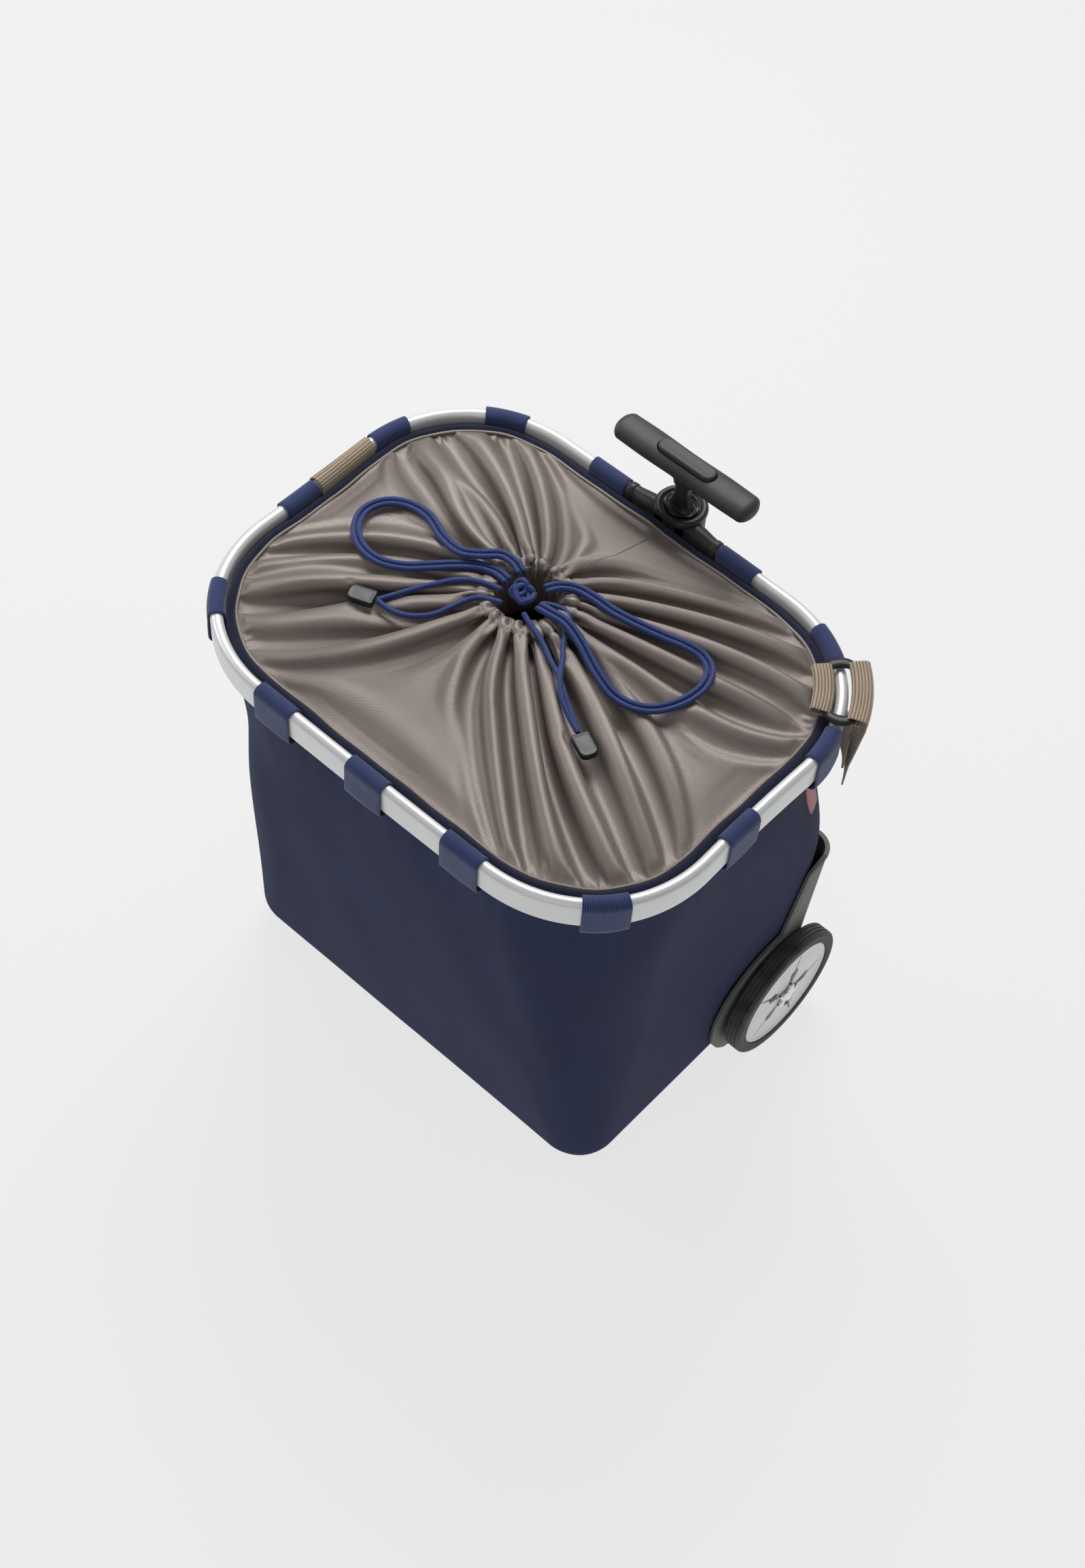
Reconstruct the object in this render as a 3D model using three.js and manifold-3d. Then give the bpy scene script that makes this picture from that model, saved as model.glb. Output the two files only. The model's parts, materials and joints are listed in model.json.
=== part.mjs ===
// Shopping trolley on wheels: a tapered bag hung on a rounded ring, with a telescopic T-handle,
// a chassis that holds two wheels, and a cover that a cord gathers.
// Millimetres. +Z is up, +Y is the handle's side, +X is the right end. The floor is z = 0.
import * as THREE from "three";
import { mergeVertices } from "three/addons/utils/BufferGeometryUtils.js";
import Module from "manifold-3d";

const wasm = await Module();
wasm.setup();

// ---- driving dimensions ----
const GAP = 0.3; // left between pieces that touch
const CENTRE_X = 1.166; // centre of the footprint, seen from the ring's centre
const CENTRE_Y = 11.149;

const RING_HALF_W = 204.8; // centreline of the ring's tube
const RING_HALF_D = 156.5;
const RING_CORNER = 104;
const RING_Z = 409;
const RING_END_FLARE = 0.036; // how far the ends open towards the corners
const RING_SIDE_BOW = 0.018; // how far the long sides bow out
const TUBE_HALF_WIDE = 4.5;
const TUBE_HALF_TALL = 13;
const RING_END = 26; // the ring's ends stop this far from its back middle

const BAG_BOTTOM_Z = 12;
const BAG_TOP_Z = 398.7;
const BAG_WALL = 3;
const BAG_RIM_INSET = 7; // wall's outer face, in from the tube's centreline
const BASE_HALF_W = 183.5;
const BASE_FRONT_Y = -113;
const BASE_BACK_Y = 137;
const BASE_CORNER = 32;
const BACK_CORNER = 14; // the chassis holds the back corners square up to its cheeks' tops
const FRONT_BULGE = 4;
const SIDE_BULGE = 0.6; // the sides stay almost flat beside the wheels
const FRONT_CORNER_SLACK = 12;

const POLE_Y = 162.5;
const POLE_FOOT_Z = 22;
const OUTER_R = 11;
const MIDDLE_R = 9.6;
const INNER_R = 8.2;
const POLE_WALL = 1.1;
const STAGE_GAP = 0.3;

const GRIP_Z = 468.6;
const GRIP_HALF_LENGTH = 62;
const WHEEL_R = 59.7;
const WHEEL_Y = 100.7;
const TYRE_INNER_X = 191.4;
const TYRE_WIDTH = 15.4;
const AXLE_R = 4;

const CORD_R = 2.1;
const HOLE = new THREE.Vector2(-19, 20); // middle of the cover's gathered hole
const HOLE_R = 24;
const KNOT = new THREE.Vector3(-20, 15, 442);

// ---- materials ----
const finish = (color, roughness, metalness = 0) =>
  new THREE.MeshStandardMaterial({ color, roughness, metalness });
const FINISH = {
  aluminium: finish(0xdedfde, 0.35, 0.8),
  blackPlastic: finish(0x2b2b2b, 0.5),
  chassis: finish(0x55585a, 0.6),
  steel: finish(0xb5b5b5, 0.3, 1),
  tyre: finish(0x323232, 0.8),
  wheelDisc: finish(0xd7d9d9, 0.35),
  chrome: finish(0xd0d0d0, 0.1, 1),
  bag: finish(0x2d3450, 0.85),
  webbing: finish(0x3a4878, 0.8),
  cover: finish(0x8c8078, 0.45),
  strap: finish(0x968776, 0.8),
  tab: finish(0xaa5f64, 0.8),
  cord: finish(0x233c96, 0.7),
};

const trolley = new THREE.Group();
trolley.position.set(-CENTRE_X, -CENTRE_Y, 0);

function add(name, geometry, material, parent = trolley) {
  const mesh = new THREE.Mesh(geometry, material);
  mesh.name = name;
  parent.add(mesh);
  return mesh;
}

// ---- solids: joins and cuts ----
function solid(geometry) {
  const plain = geometry.clone();
  plain.deleteAttribute("normal");
  plain.deleteAttribute("uv");
  const merged = mergeVertices(plain, 1e-4);
  return new wasm.Manifold(
    new wasm.Mesh({
      numProp: 3,
      vertProperties: new Float32Array(merged.attributes.position.array),
      triVerts: new Uint32Array(merged.index.array),
    }),
  );
}

function toGeometry(made) {
  const mesh = made.getMesh();
  const geometry = new THREE.BufferGeometry();
  geometry.setAttribute("position", new THREE.BufferAttribute(mesh.vertProperties, 3));
  geometry.setIndex(new THREE.BufferAttribute(mesh.triVerts, 1));
  geometry.computeVertexNormals();
  return geometry;
}

function join(...geometries) {
  return toGeometry(geometries.map(solid).reduce((all, next) => all.add(next)));
}

function cut(body, ...tools) {
  return toGeometry(tools.map(solid).reduce((left, tool) => left.subtract(tool), solid(body)));
}

// ---- simple shapes ----
const box = (x0, x1, y0, y1, z0, z1) =>
  new THREE.BoxGeometry(x1 - x0, y1 - y0, z1 - z0)
    .translate((x0 + x1) / 2, (y0 + y1) / 2, (z0 + z1) / 2);

// a closed profile of [radius, height] turned about Z
const turned = (profile, segments = 24) =>
  new THREE.LatheGeometry(profile.map(([r, z]) => new THREE.Vector2(r, z)), segments)
    .rotateX(Math.PI / 2);

const rod = (r, z0, z1, segments = 24) =>
  turned([[0, z0], [r, z0], [r, z1], [0, z1]], segments);

const sleeve = (rIn, rOut, z0, z1, segments = 24) =>
  turned([[rIn, z0], [rOut, z0], [rOut, z1], [rIn, z1], [rIn, z0]], segments);

// an outline with half-circle ends, long along X
function obround(halfLong, halfWide, centreX = 0, arcSteps = 6) {
  const outline = new THREE.Shape();
  const straight = halfLong - halfWide;
  for (const [side, start] of [[1, -Math.PI / 2], [-1, Math.PI / 2]])
    for (let i = 0; i <= arcSteps; i++) {
      const a = start + (Math.PI * i) / arcSteps;
      const x = centreX + side * straight + halfWide * Math.cos(a);
      const y = halfWide * Math.sin(a);
      if (side === 1 && i === 0) outline.moveTo(x, y);
      else outline.lineTo(x, y);
    }
  return outline;
}

function roundedRectangle(halfW, halfD, corner, arcSteps = 6) {
  const outline = new THREE.Shape();
  for (let quarter = 0; quarter < 4; quarter++)
    for (let i = 0; i <= arcSteps; i++) {
      const a = (Math.PI / 2) * (quarter + i / arcSteps);
      const cx = (quarter === 0 || quarter === 3 ? 1 : -1) * (halfW - corner);
      const cy = (quarter < 2 ? 1 : -1) * (halfD - corner);
      const x = cx + corner * Math.cos(a);
      const y = cy + corner * Math.sin(a);
      if (quarter === 0 && i === 0) outline.moveTo(x, y);
      else outline.lineTo(x, y);
    }
  return outline;
}

const extruded = (shape, depth, steps = 1) =>
  new THREE.ExtrudeGeometry(shape, { depth, steps, bevelEnabled: false, curveSegments: 6 });

function warp(geometry, move) {
  const p = geometry.attributes.position;
  const v = new THREE.Vector3();
  for (let i = 0; i < p.count; i++) {
    v.fromBufferAttribute(p, i);
    move(v);
    p.setXYZ(i, v.x, v.y, v.z);
  }
  return geometry;
}

// ---- the rim: distance s runs left from the back middle, all the way round ----
const STRAIGHT_X = RING_HALF_W - RING_CORNER;
const STRAIGHT_Y = RING_HALF_D - RING_CORNER;
const QUARTER_ARC = (Math.PI / 2) * RING_CORNER;
const PERIMETER = 4 * (STRAIGHT_X + STRAIGHT_Y + QUARTER_ARC);

// the centre of curvature and the outward direction at s
function rimFrame(s) {
  const half = PERIMETER / 2;
  const around = ((s % PERIMETER) + PERIMETER) % PERIMETER;
  const side = around <= half ? -1 : 1;
  const d = around <= half ? around : PERIMETER - around;
  const leg = [STRAIGHT_X, QUARTER_ARC, 2 * STRAIGHT_Y, QUARTER_ARC];
  const core = new THREE.Vector2(0, STRAIGHT_Y);
  const out = new THREE.Vector2(0, 1);
  let left = d;
  core.x = Math.min(left, leg[0]);
  left -= leg[0];
  if (left > 0) {
    const a = Math.min(left, leg[1]) / RING_CORNER;
    out.set(Math.sin(a), Math.cos(a));
    left -= leg[1];
  }
  if (left > 0) {
    core.y = STRAIGHT_Y - Math.min(left, leg[2]);
    left -= leg[2];
  }
  if (left > 0) {
    const a = Math.PI / 2 + Math.min(left, leg[3]) / RING_CORNER;
    out.set(Math.sin(a), Math.cos(a));
    left -= leg[3];
  }
  if (left > 0) core.x = STRAIGHT_X - left;
  core.x *= side;
  out.x *= side;
  return { core, out };
}

function flare(v) {
  const x = v.x;
  v.x *= 1 + RING_END_FLARE * (v.y / RING_HALF_D) ** 2;
  v.y *= 1 - RING_SIDE_BOW * (x / RING_HALF_W) ** 2;
}

// lays a piece along the rim: local x goes up, y goes outward, z goes along s
function onRim(geometry, start, lean = () => [0, 0]) {
  return warp(geometry, (v) => {
    const s = start + v.z;
    const { core, out } = rimFrame(s);
    const [outward, up] = lean(s, v.x);
    const reach = RING_CORNER + v.y + outward;
    const z = RING_Z + v.x + up;
    v.set(core.x + out.x * reach, core.y + out.y * reach, z);
    flare(v);
  });
}

// ---- the bag's tapered side: the rim's outline above, a smaller rectangle below ----
function bagOutline(z) {
  const t = THREE.MathUtils.clamp((z - BAG_BOTTOM_Z) / (BAG_TOP_Z - BAG_BOTTOM_Z), 0, 1);
  const belly = Math.sin(Math.PI * t);
  const mix = (low, high, power) => low + (high - low) * t ** power;
  const front = mix(BASE_FRONT_Y, -(RING_HALF_D - BAG_RIM_INSET), 0.95) - FRONT_BULGE * belly;
  const back = mix(BASE_BACK_Y, RING_HALF_D - BAG_RIM_INSET, 1);
  const squareness = THREE.MathUtils.smoothstep(t, 0.5, 0.9);
  return {
    halfW: mix(BASE_HALF_W, RING_HALF_W - BAG_RIM_INSET, 1.4) + SIDE_BULGE * belly,
    front,
    back,
    frontCorner: mix(BASE_CORNER, RING_CORNER - BAG_RIM_INSET, 1.25) + FRONT_CORNER_SLACK * belly,
    backCorner: BACK_CORNER + (RING_CORNER - BAG_RIM_INSET - BACK_CORNER) * squareness,
    flare: t,
  };
}

function bagPoint(v, s, outward, z) {
  const { core, out } = rimFrame(s);
  const o = bagOutline(z);
  const corner = core.y > 0 ? o.backCorner : o.frontCorner;
  const x = (core.x / STRAIGHT_X) * (o.halfW - corner) + out.x * (corner + outward);
  const toBack = (core.y / STRAIGHT_Y + 1) / 2;
  const coreY = THREE.MathUtils.lerp(o.front + o.frontCorner, o.back - o.backCorner, toBack);
  const y = coreY + out.y * (corner + outward);
  v.set(x, y, z);
  const flared = v.clone();
  flare(flared);
  v.lerp(flared, o.flare);
  v.z = z;
}

const SIDE_LEVELS = [30, 52, 72, 90, 106, 118, 132, 150, 175, 200, 206, 235, 265, 300, 350];

// a curved panel of the bag's side; its edges are distances along the rim, or change with height
function sidePanel(sFrom, sTo, zFrom, zTo, inner, outer, along) {
  const levels = [zFrom, ...SIDE_LEVELS.filter((z) => z > zFrom + 1 && z < zTo - 1), zTo];
  const up = levels.length - 1;
  const grid = new THREE.BoxGeometry(1, 1, 1, along, 1, up).translate(0.5, 0.5, 0.5);
  const number = (edge, z) => (typeof edge === "function" ? edge(z) : edge);
  return warp(grid, (v) => {
    const z = levels[Math.round(v.z * up)];
    const s = number(sTo, z) + (number(sFrom, z) - number(sTo, z)) * v.x;
    bagPoint(v, s, inner + (outer - inner) * v.y, z);
  });
}

// ---- ring and its junction with the pole ----
const COLLAR_TOP = 15;

function frameRing() {
  const section = obround(TUBE_HALF_TALL, TUBE_HALF_WIDE, 0, 4);
  return onRim(extruded(section, PERIMETER - 2 * RING_END, 76), RING_END);
}

function collarBody() {
  const barrel = rod(19, RING_Z - 16, RING_Z + COLLAR_TOP, 28).translate(0, POLE_Y, 0);
  const arm = (from) => onRim(extruded(obround(14.7, 7.2, 0, 4), 30, 2), from);
  const socket = (from) => onRim(extruded(obround(13.3, 4.8, 0, 4), 22, 2), from);
  const bore = rod(OUTER_R + GAP, 0, 600, 28).translate(0, POLE_Y, 0);
  const frontFlat = box(-60, 60, 100, RING_HALF_D - BAG_RIM_INSET + 0.5, 0, 600);
  const body = join(barrel, arm(10), arm(-40));
  return cut(body, socket(RING_END - GAP), socket(-RING_END - 22 + GAP), bore, frontFlat);
}

function collarBezel() {
  const z = RING_Z + COLLAR_TOP + GAP;
  const ring = [[12, z], [19.5, z], [20, z + 1.5], [19, z + 4.5], [17, z + 5.5], [13, z + 4], [12, z]];
  const whole = turned(ring, 28).translate(0, POLE_Y, 0);
  return cut(whole, box(-60, 60, 100, RING_HALF_D - BAG_RIM_INSET - 3, 0, 600));
}

add("frame_ring", frameRing(), FINISH.aluminium);
add("collar_body", collarBody(), FINISH.blackPlastic);
add("collar_bezel", collarBezel(), FINISH.blackPlastic);

// ---- telescopic pole ----
const OUTER_TOP = RING_Z + 15.2;
const MIDDLE_TOP = OUTER_TOP + 0.6;
const INNER_FOOT_Z = 60;
const INNER_TOP = GRIP_Z - 6.3;
const atPole = (geometry) => geometry.translate(0, POLE_Y, 0);

const tube = (r, z0, z1) => atPole(sleeve(r - POLE_WALL, r, z0, z1));
add("pole_outer_tube", tube(OUTER_R, POLE_FOOT_Z, OUTER_TOP), FINISH.aluminium);
add("pole_middle_tube", tube(MIDDLE_R, 40, MIDDLE_TOP), FINISH.aluminium);
// the middle stage's top collar rests on the outer tube
const bush = sleeve(INNER_R + STAGE_GAP, OUTER_R, MIDDLE_TOP + GAP, MIDDLE_TOP + 4.6);
add("pole_middle_bush", atPole(bush), FINISH.blackPlastic);
add("pole_inner_tube", tube(INNER_R, INNER_FOOT_Z, INNER_TOP), FINISH.blackPlastic);
const slider = rod(INNER_R + 0.1, INNER_FOOT_Z - 8, INNER_FOOT_Z - GAP);
add("pole_inner_slider", atPole(slider), FINISH.blackPlastic);

// ---- grip with its release button ----
const BUTTON_HALF_LENGTH = 25;
const BUTTON_HALF_WIDTH = 6.5;
const POCKET_FLOOR = GRIP_Z - 4;
const BUTTON_BOTTOM = GRIP_Z + 1.6;
const BUTTON_TOP = GRIP_Z + 10;
const ROD_R = 2.8;
const SPRING_STEPS = 8; // per turn

function gripBody() {
  const [end, shoulder] = [GRIP_HALF_LENGTH, GRIP_HALF_LENGTH - 6];
  const profile = [[0, -end], [0.72, -end], [0.93, -end + 2.5], [1, -shoulder], [1, shoulder],
    [0.93, end - 2.5], [0.72, end], [0, end]];
  const bar = turned(profile, 20).rotateY(Math.PI / 2).scale(1, 12.5, 8).translate(0, POLE_Y, GRIP_Z);
  const boss = atPole(turned([[0, GRIP_Z - 17], [10.4, GRIP_Z - 17], [12, GRIP_Z], [0, GRIP_Z]], 20));
  const tubeSocket = atPole(rod(INNER_R + GAP, GRIP_Z - 30, INNER_TOP + GAP));
  const opening = obround(BUTTON_HALF_LENGTH + 0.4, BUTTON_HALF_WIDTH + 0.4);
  const pocket = atPole(extruded(opening, 30).translate(0, 0, POCKET_FLOOR));
  const rodHole = atPole(rod(ROD_R + GAP, GRIP_Z - 20, GRIP_Z, 16));
  return cut(join(bar, boss), tubeSocket, pocket, rodHole);
}

// a coil of wire; its axis is Z
function coilSpring(radius, wire, z0, z1, turns) {
  const points = [];
  const steps = turns * SPRING_STEPS;
  for (let i = 0; i <= steps; i++) {
    const a = (2 * Math.PI * i) / SPRING_STEPS;
    const z = z0 + ((z1 - z0) * i) / steps;
    points.push(new THREE.Vector3(radius * Math.cos(a), radius * Math.sin(a), z));
  }
  const section = new THREE.Shape(new THREE.EllipseCurve(0, 0, wire, wire).getPoints(5).slice(0, 5));
  const extrudePath = new THREE.CatmullRomCurve3(points);
  return new THREE.ExtrudeGeometry(section, { steps, bevelEnabled: false, extrudePath });
}

add("grip_body", gripBody(), FINISH.blackPlastic);
add(
  "release_button",
  atPole(extruded(obround(BUTTON_HALF_LENGTH, BUTTON_HALF_WIDTH), BUTTON_TOP - BUTTON_BOTTOM)
    .translate(0, 0, BUTTON_BOTTOM)),
  FINISH.blackPlastic,
);
add("release_rod", atPole(rod(ROD_R, 250, BUTTON_BOTTOM - GAP, 16)), FINISH.steel);
const spring = coilSpring(4.4, 0.4, POCKET_FLOOR + 0.8, BUTTON_BOTTOM - 0.8, 3);
add("button_spring", atPole(spring), FINISH.steel);

// ---- chassis: back plate and base in one moulding, and a cheek round each lower back corner ----
const CHEEK_THICK = 3;
const CHEEK_IN = 0.8;
const CHEEK_GUARD_R = 68.5; // the cheek's front edge follows the wheel up to its column
const CHEEK_TOP = 212;
const CHEEK_BACK_S = 84;

// how far along the rim the bag's side reaches the given y, on the left half
function rimDistanceAtY(y, z) {
  let low = 0;
  let high = PERIMETER / 2;
  const v = new THREE.Vector3();
  for (let i = 0; i < 40; i++) {
    const s = (low + high) / 2;
    bagPoint(v, s, 0, z);
    if (v.y > y) low = s;
    else high = s;
  }
  return low;
}

function cheekFrontY(z) {
  const rise = z - WHEEL_R;
  const column = 99.4 + 0.19 * (z - 116) + 14 * Math.max(0, (z - 200) / 12) ** 2;
  const guard = rise < CHEEK_GUARD_R ? WHEEL_Y - Math.sqrt(CHEEK_GUARD_R ** 2 - rise ** 2) : column;
  return Math.min(guard, column);
}

function cheek(side) {
  const front = (z) => side * rimDistanceAtY(cheekFrontY(z), z);
  const back = side * CHEEK_BACK_S;
  const [from, to] = side > 0 ? [back, front] : [front, back];
  const plate = sidePanel(from, to, 9, CHEEK_TOP, CHEEK_IN, CHEEK_IN + CHEEK_THICK, 10);
  const hole = new THREE.CylinderGeometry(AXLE_R + GAP, AXLE_R + GAP, 60, 24)
    .rotateZ(Math.PI / 2)
    .translate(-side * TYRE_INNER_X, WHEEL_Y, WHEEL_R);
  return cut(plate, hole);
}

function chassisBody() {
  const back = box(-98, 98, 143.2, 147.2, 8, 150);
  const base = box(-150, 150, 70, 147.2, 4, 8);
  const socket = atPole(rod(16, 4, 62));
  const bridge = box(-16, 16, 145, POLE_Y, 4, 62);
  const bore = atPole(rod(OUTER_R + GAP, POLE_FOOT_Z - GAP, 80));
  return cut(join(back, base, socket, bridge), bore);
}

add("chassis_body", chassisBody(), FINISH.chassis);
add("chassis_cheek_left", cheek(1), FINISH.chassis);
add("chassis_cheek_right", cheek(-1), FINISH.chassis);

// ---- wheels ----
const DISC_R = 49.3;
const DISC_FACE = TYRE_INNER_X + TYRE_WIDTH + 0.4;
const CAP_LOBES = 5;

// tread with two grooves, turned about X
function tyre() {
  const [x0, x1] = [TYRE_INNER_X, TYRE_INNER_X + TYRE_WIDTH];
  const low = WHEEL_R - 1.6;
  const groove = (x) => [[WHEEL_R, x - 1], [low, x - 0.4], [low, x + 0.4], [WHEEL_R, x + 1]];
  const profile = [[DISC_R + GAP, x0], [WHEEL_R - 5, x0], [WHEEL_R - 1, x0 + 2],
    ...groove(x0 + 5.5), ...groove(x0 + 10),
    [low, x1 - 1.2], [WHEEL_R - 5, x1], [DISC_R + GAP, x1], [DISC_R + GAP, x0]];
  return turned(profile, 32);
}

// a disc with five fan-shaped slots between its spokes
function wheelRim() {
  const circle = (r, steps) => new THREE.EllipseCurve(0, 0, r, r).getPoints(steps).slice(0, steps);
  const disc = new THREE.Shape(circle(DISC_R, 32));
  disc.holes.push(new THREE.Path(circle(AXLE_R + GAP, 16)));
  for (let i = 0; i < CAP_LOBES; i++) {
    const a = (2 * Math.PI * i) / CAP_LOBES;
    const corner = (r, spread) =>
      new THREE.Vector2(r * Math.cos(a + spread), r * Math.sin(a + spread));
    const slot = [corner(15, -0.16), corner(31, -0.05), corner(31, 0.13), corner(15, 0.16)];
    disc.holes.push(new THREE.Path(slot));
  }
  return extruded(disc, TYRE_WIDTH - 1).translate(0, 0, TYRE_INNER_X + 1.4);
}

function wheelCap() {
  const outline = new THREE.Shape();
  for (let i = 0; i < 40; i++) {
    const a = (2 * Math.PI * i) / 40;
    const r = 9.6 + 2.6 * Math.cos(CAP_LOBES * a);
    if (i === 0) outline.moveTo(r, 0);
    else outline.lineTo(r * Math.cos(a), r * Math.sin(a));
  }
  return extruded(outline, 2).translate(0, 0, DISC_FACE + GAP);
}

const axle = () => rod(AXLE_R, TYRE_INNER_X - 4.2, DISC_FACE, 24);

// wheel pieces are made with their axis along +Z and turned to point outward
for (const [name, side] of [["left", -1], ["right", 1]]) {
  const hub = new THREE.Group();
  hub.position.set(0, WHEEL_Y, WHEEL_R);
  hub.rotation.y = (side * Math.PI) / 2;
  trolley.add(hub);
  add(`wheel_tyre_${name}`, tyre(), FINISH.tyre, hub);
  add(`wheel_rim_${name}`, wheelRim(), FINISH.wheelDisc, hub);
  add(`wheel_cap_${name}`, wheelCap(), FINISH.chrome, hub);
  add(`stub_axle_${name}`, axle(), FINISH.steel, hub);
  const footTop = BAG_BOTTOM_Z - GAP;
  const foot = turned([[0, 0], [10, 0], [12, 2], [12, footTop], [0, footTop]]);
  add(`front_foot_${name}`, foot.translate(side * 135, -80, 0), FINISH.blackPlastic);
}

// ---- bag ----
const quarterS = STRAIGHT_X + QUARTER_ARC / 2; // middle of a back corner
const frontQuarterS = PERIMETER / 2 - quarterS;
const walls = {
  bag_back_panel: [-quarterS, quarterS],
  bag_left_panel: [quarterS, frontQuarterS],
  bag_front_panel: [frontQuarterS, PERIMETER - frontQuarterS],
  bag_right_panel: [PERIMETER - frontQuarterS, PERIMETER - quarterS],
};
for (const [name, [from, to]] of Object.entries(walls)) {
  const wall = sidePanel(from + GAP, to - GAP, BAG_BOTTOM_Z, BAG_TOP_Z, -BAG_WALL, 0, 10);
  add(name, wall, FINISH.bag);
}

function baseSheet(inset, z0, z1) {
  const rounding = [];
  const v = new THREE.Vector3();
  const nextCorner = QUARTER_ARC + 2 * STRAIGHT_Y;
  for (const half of [0, PERIMETER / 2])
    for (const start of [half + STRAIGHT_X, half + STRAIGHT_X + nextCorner])
      for (let i = 0; i <= 6; i++) {
        bagPoint(v, start + (QUARTER_ARC * i) / 6, -inset, BAG_BOTTOM_Z);
        rounding.push(new THREE.Vector2(v.x, v.y));
      }
  return extruded(new THREE.Shape(rounding), z1 - z0).translate(0, 0, z0);
}
add("bag_bottom_panel", baseSheet(BAG_WALL + 2 * GAP, BAG_BOTTOM_Z, BAG_BOTTOM_Z + 2.5), FINISH.bag);
add("base_board", baseSheet(BAG_WALL + 3, BAG_BOTTOM_Z + 2.8, BAG_BOTTOM_Z + 6), FINISH.blackPlastic);

// the folded hem that the loops and the cover are sewn to
function rimBand() {
  const section = [[-10.4, 10], [-10.4, -10], [-BAG_RIM_INSET, -10], [-BAG_RIM_INSET, 10], [-10.4, 10]];
  const ring = turned(section.map(([out, up]) => [RING_CORNER + out, up]), 72);
  return warp(ring, (v) => {
    const around = Math.atan2(-v.x, v.y) / (2 * Math.PI);
    const outward = Math.hypot(v.x, v.y) - RING_CORNER;
    const { core, out } = rimFrame(around * PERIMETER);
    const up = v.z;
    const reach = RING_CORNER + outward;
    v.set(core.x + out.x * reach, core.y + out.y * reach, RING_Z + up);
    flare(v);
  });
}
add("rim_band", rimBand(), FINISH.bag);

// the cover: a low dome from the rim band to its gathered hole
function coverSheet() {
  const COVER_EDGE = -10.8;
  const rise = [[1, 2], [0.88, 10], [0.65, 16.5], [0.35, 22], [0, 25]];
  const top = rise.map(([t, up]) => [1 + t, up]);
  const under = rise.toReversed().map(([t, up]) => [1 + t, up - 2]);
  const ring = turned([...top, ...under, top[0]], 44);
  return warp(ring, (v) => {
    const t = Math.hypot(v.x, v.y) - 1;
    const angle = Math.atan2(-v.x, v.y);
    const { core, out } = rimFrame((angle / (2 * Math.PI)) * PERIMETER);
    const reach = RING_CORNER + COVER_EDGE;
    const edge = new THREE.Vector3(core.x + out.x * reach, core.y + out.y * reach, 0);
    flare(edge);
    const mouth = new THREE.Vector2(edge.x, edge.y).sub(HOLE).setLength(HOLE_R).add(HOLE);
    v.set(mouth.x + (edge.x - mouth.x) * t, mouth.y + (edge.y - mouth.y) * t, RING_Z + v.z);
  });
}
add("cover", coverSheet(), FINISH.cover);

// ---- webbing loops that hang the bag on the ring ----
const LOOP_WIDTH = 32;

// webbing round the tube, slack below it
function hoopOutline() {
  const outline = obround(17, 6.5, -2.05, 3);
  outline.holes.push(obround(15.6, 5.1, -2.05, 4));
  return outline;
}

function rimLoop(s) {
  return onRim(extruded(hoopOutline(), LOOP_WIDTH, 2), s - LOOP_WIDTH / 2);
}
const LOOPS = {
  back_inner: 58,
  back_corner: 149,
  end_back: 241.5,
  end_front: 334.7,
  front_corner: 448,
  front: 550,
};
for (const [name, s] of Object.entries(LOOPS)) {
  add(`loop_left_${name}`, rimLoop(s), FINISH.webbing);
  add(`loop_right_${name}`, rimLoop(-s), FINISH.webbing);
}
add("loop_front_middle", rimLoop(PERIMETER / 2), FINISH.webbing);

// ---- carrying strap: from a wrap on the left end, behind the bag, to the buckle on the right ----
const WRAP_S = 289;
const WRAP_WIDTH = 56;
const BUCKLE_S = -195;
const STRAP_HALF_WIDTH = 19;

// a hoop whose outer side runs on down as a flap behind the carrying strap
function strapWrap() {
  const [r, low, high] = [6.5, -12.55, 8.45];
  const [flapFoot, flapInner] = [-62, 5.2];
  const arc = (x, from, to) =>
    [0, 1, 2, 3].map((i) => {
      const a = from + ((to - from) * i) / 3;
      return new THREE.Vector2(x + r * Math.cos(a), r * Math.sin(a));
    });
  const underFlap = Math.PI - Math.asin(flapInner / r);
  const outline = new THREE.Shape([
    new THREE.Vector2(flapFoot, r),
    new THREE.Vector2(flapFoot, flapInner),
    ...arc(low, underFlap, (3 * Math.PI) / 2),
    ...arc(high, -Math.PI / 2, Math.PI / 2),
  ]);
  outline.holes.push(obround(15.6, 5.1, -2.05, 4));
  return onRim(extruded(outline, WRAP_WIDTH, 3), WRAP_S - WRAP_WIDTH / 2);
}

// the strap stands clear of the pole and sags behind the bag
function strapLean(s) {
  const share = (s - BUCKLE_S) / (WRAP_S - BUCKLE_S);
  const behindPole = 20 * Math.exp(-((s / 75) ** 2));
  const nearBuckle = 13.2 * Math.exp(-(((s - BUCKLE_S) / 40) ** 2));
  return [7.9 + behindPole + nearBuckle, -41 - 70 * Math.sin(Math.PI * share)];
}

function carryingStrap() {
  const length = WRAP_S + 12 - (BUCKLE_S - 12);
  const webbing = new THREE.BoxGeometry(2 * STRAP_HALF_WIDTH, 1.8, length, 1, 1, 44);
  return onRim(webbing.translate(0, 0, length / 2), BUCKLE_S - 12, strapLean);
}

const BAR_OUT = 13; // the buckle's two bars, either side of the tube
const BUCKLE_UP = 15.6;
function buckle() {
  const frame = new THREE.BoxGeometry(3, 34, 56, 1, 4, 6).translate(BUCKLE_UP, 0, 0);
  const window = new THREE.BoxGeometry(9, 18, 49, 1, 4, 6).translate(BUCKLE_UP, 0, 0);
  return cut(onRim(frame, BUCKLE_S), onRim(window, BUCKLE_S));
}

function barWrap(out) {
  const outline = obround(7, 3.3, 0, 4);
  outline.holes.push(obround(5.4, 1.9, 0, 4));
  return extruded(outline, 48, 3).rotateZ(Math.PI / 2).translate(BUCKLE_UP, out, -24);
}

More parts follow.
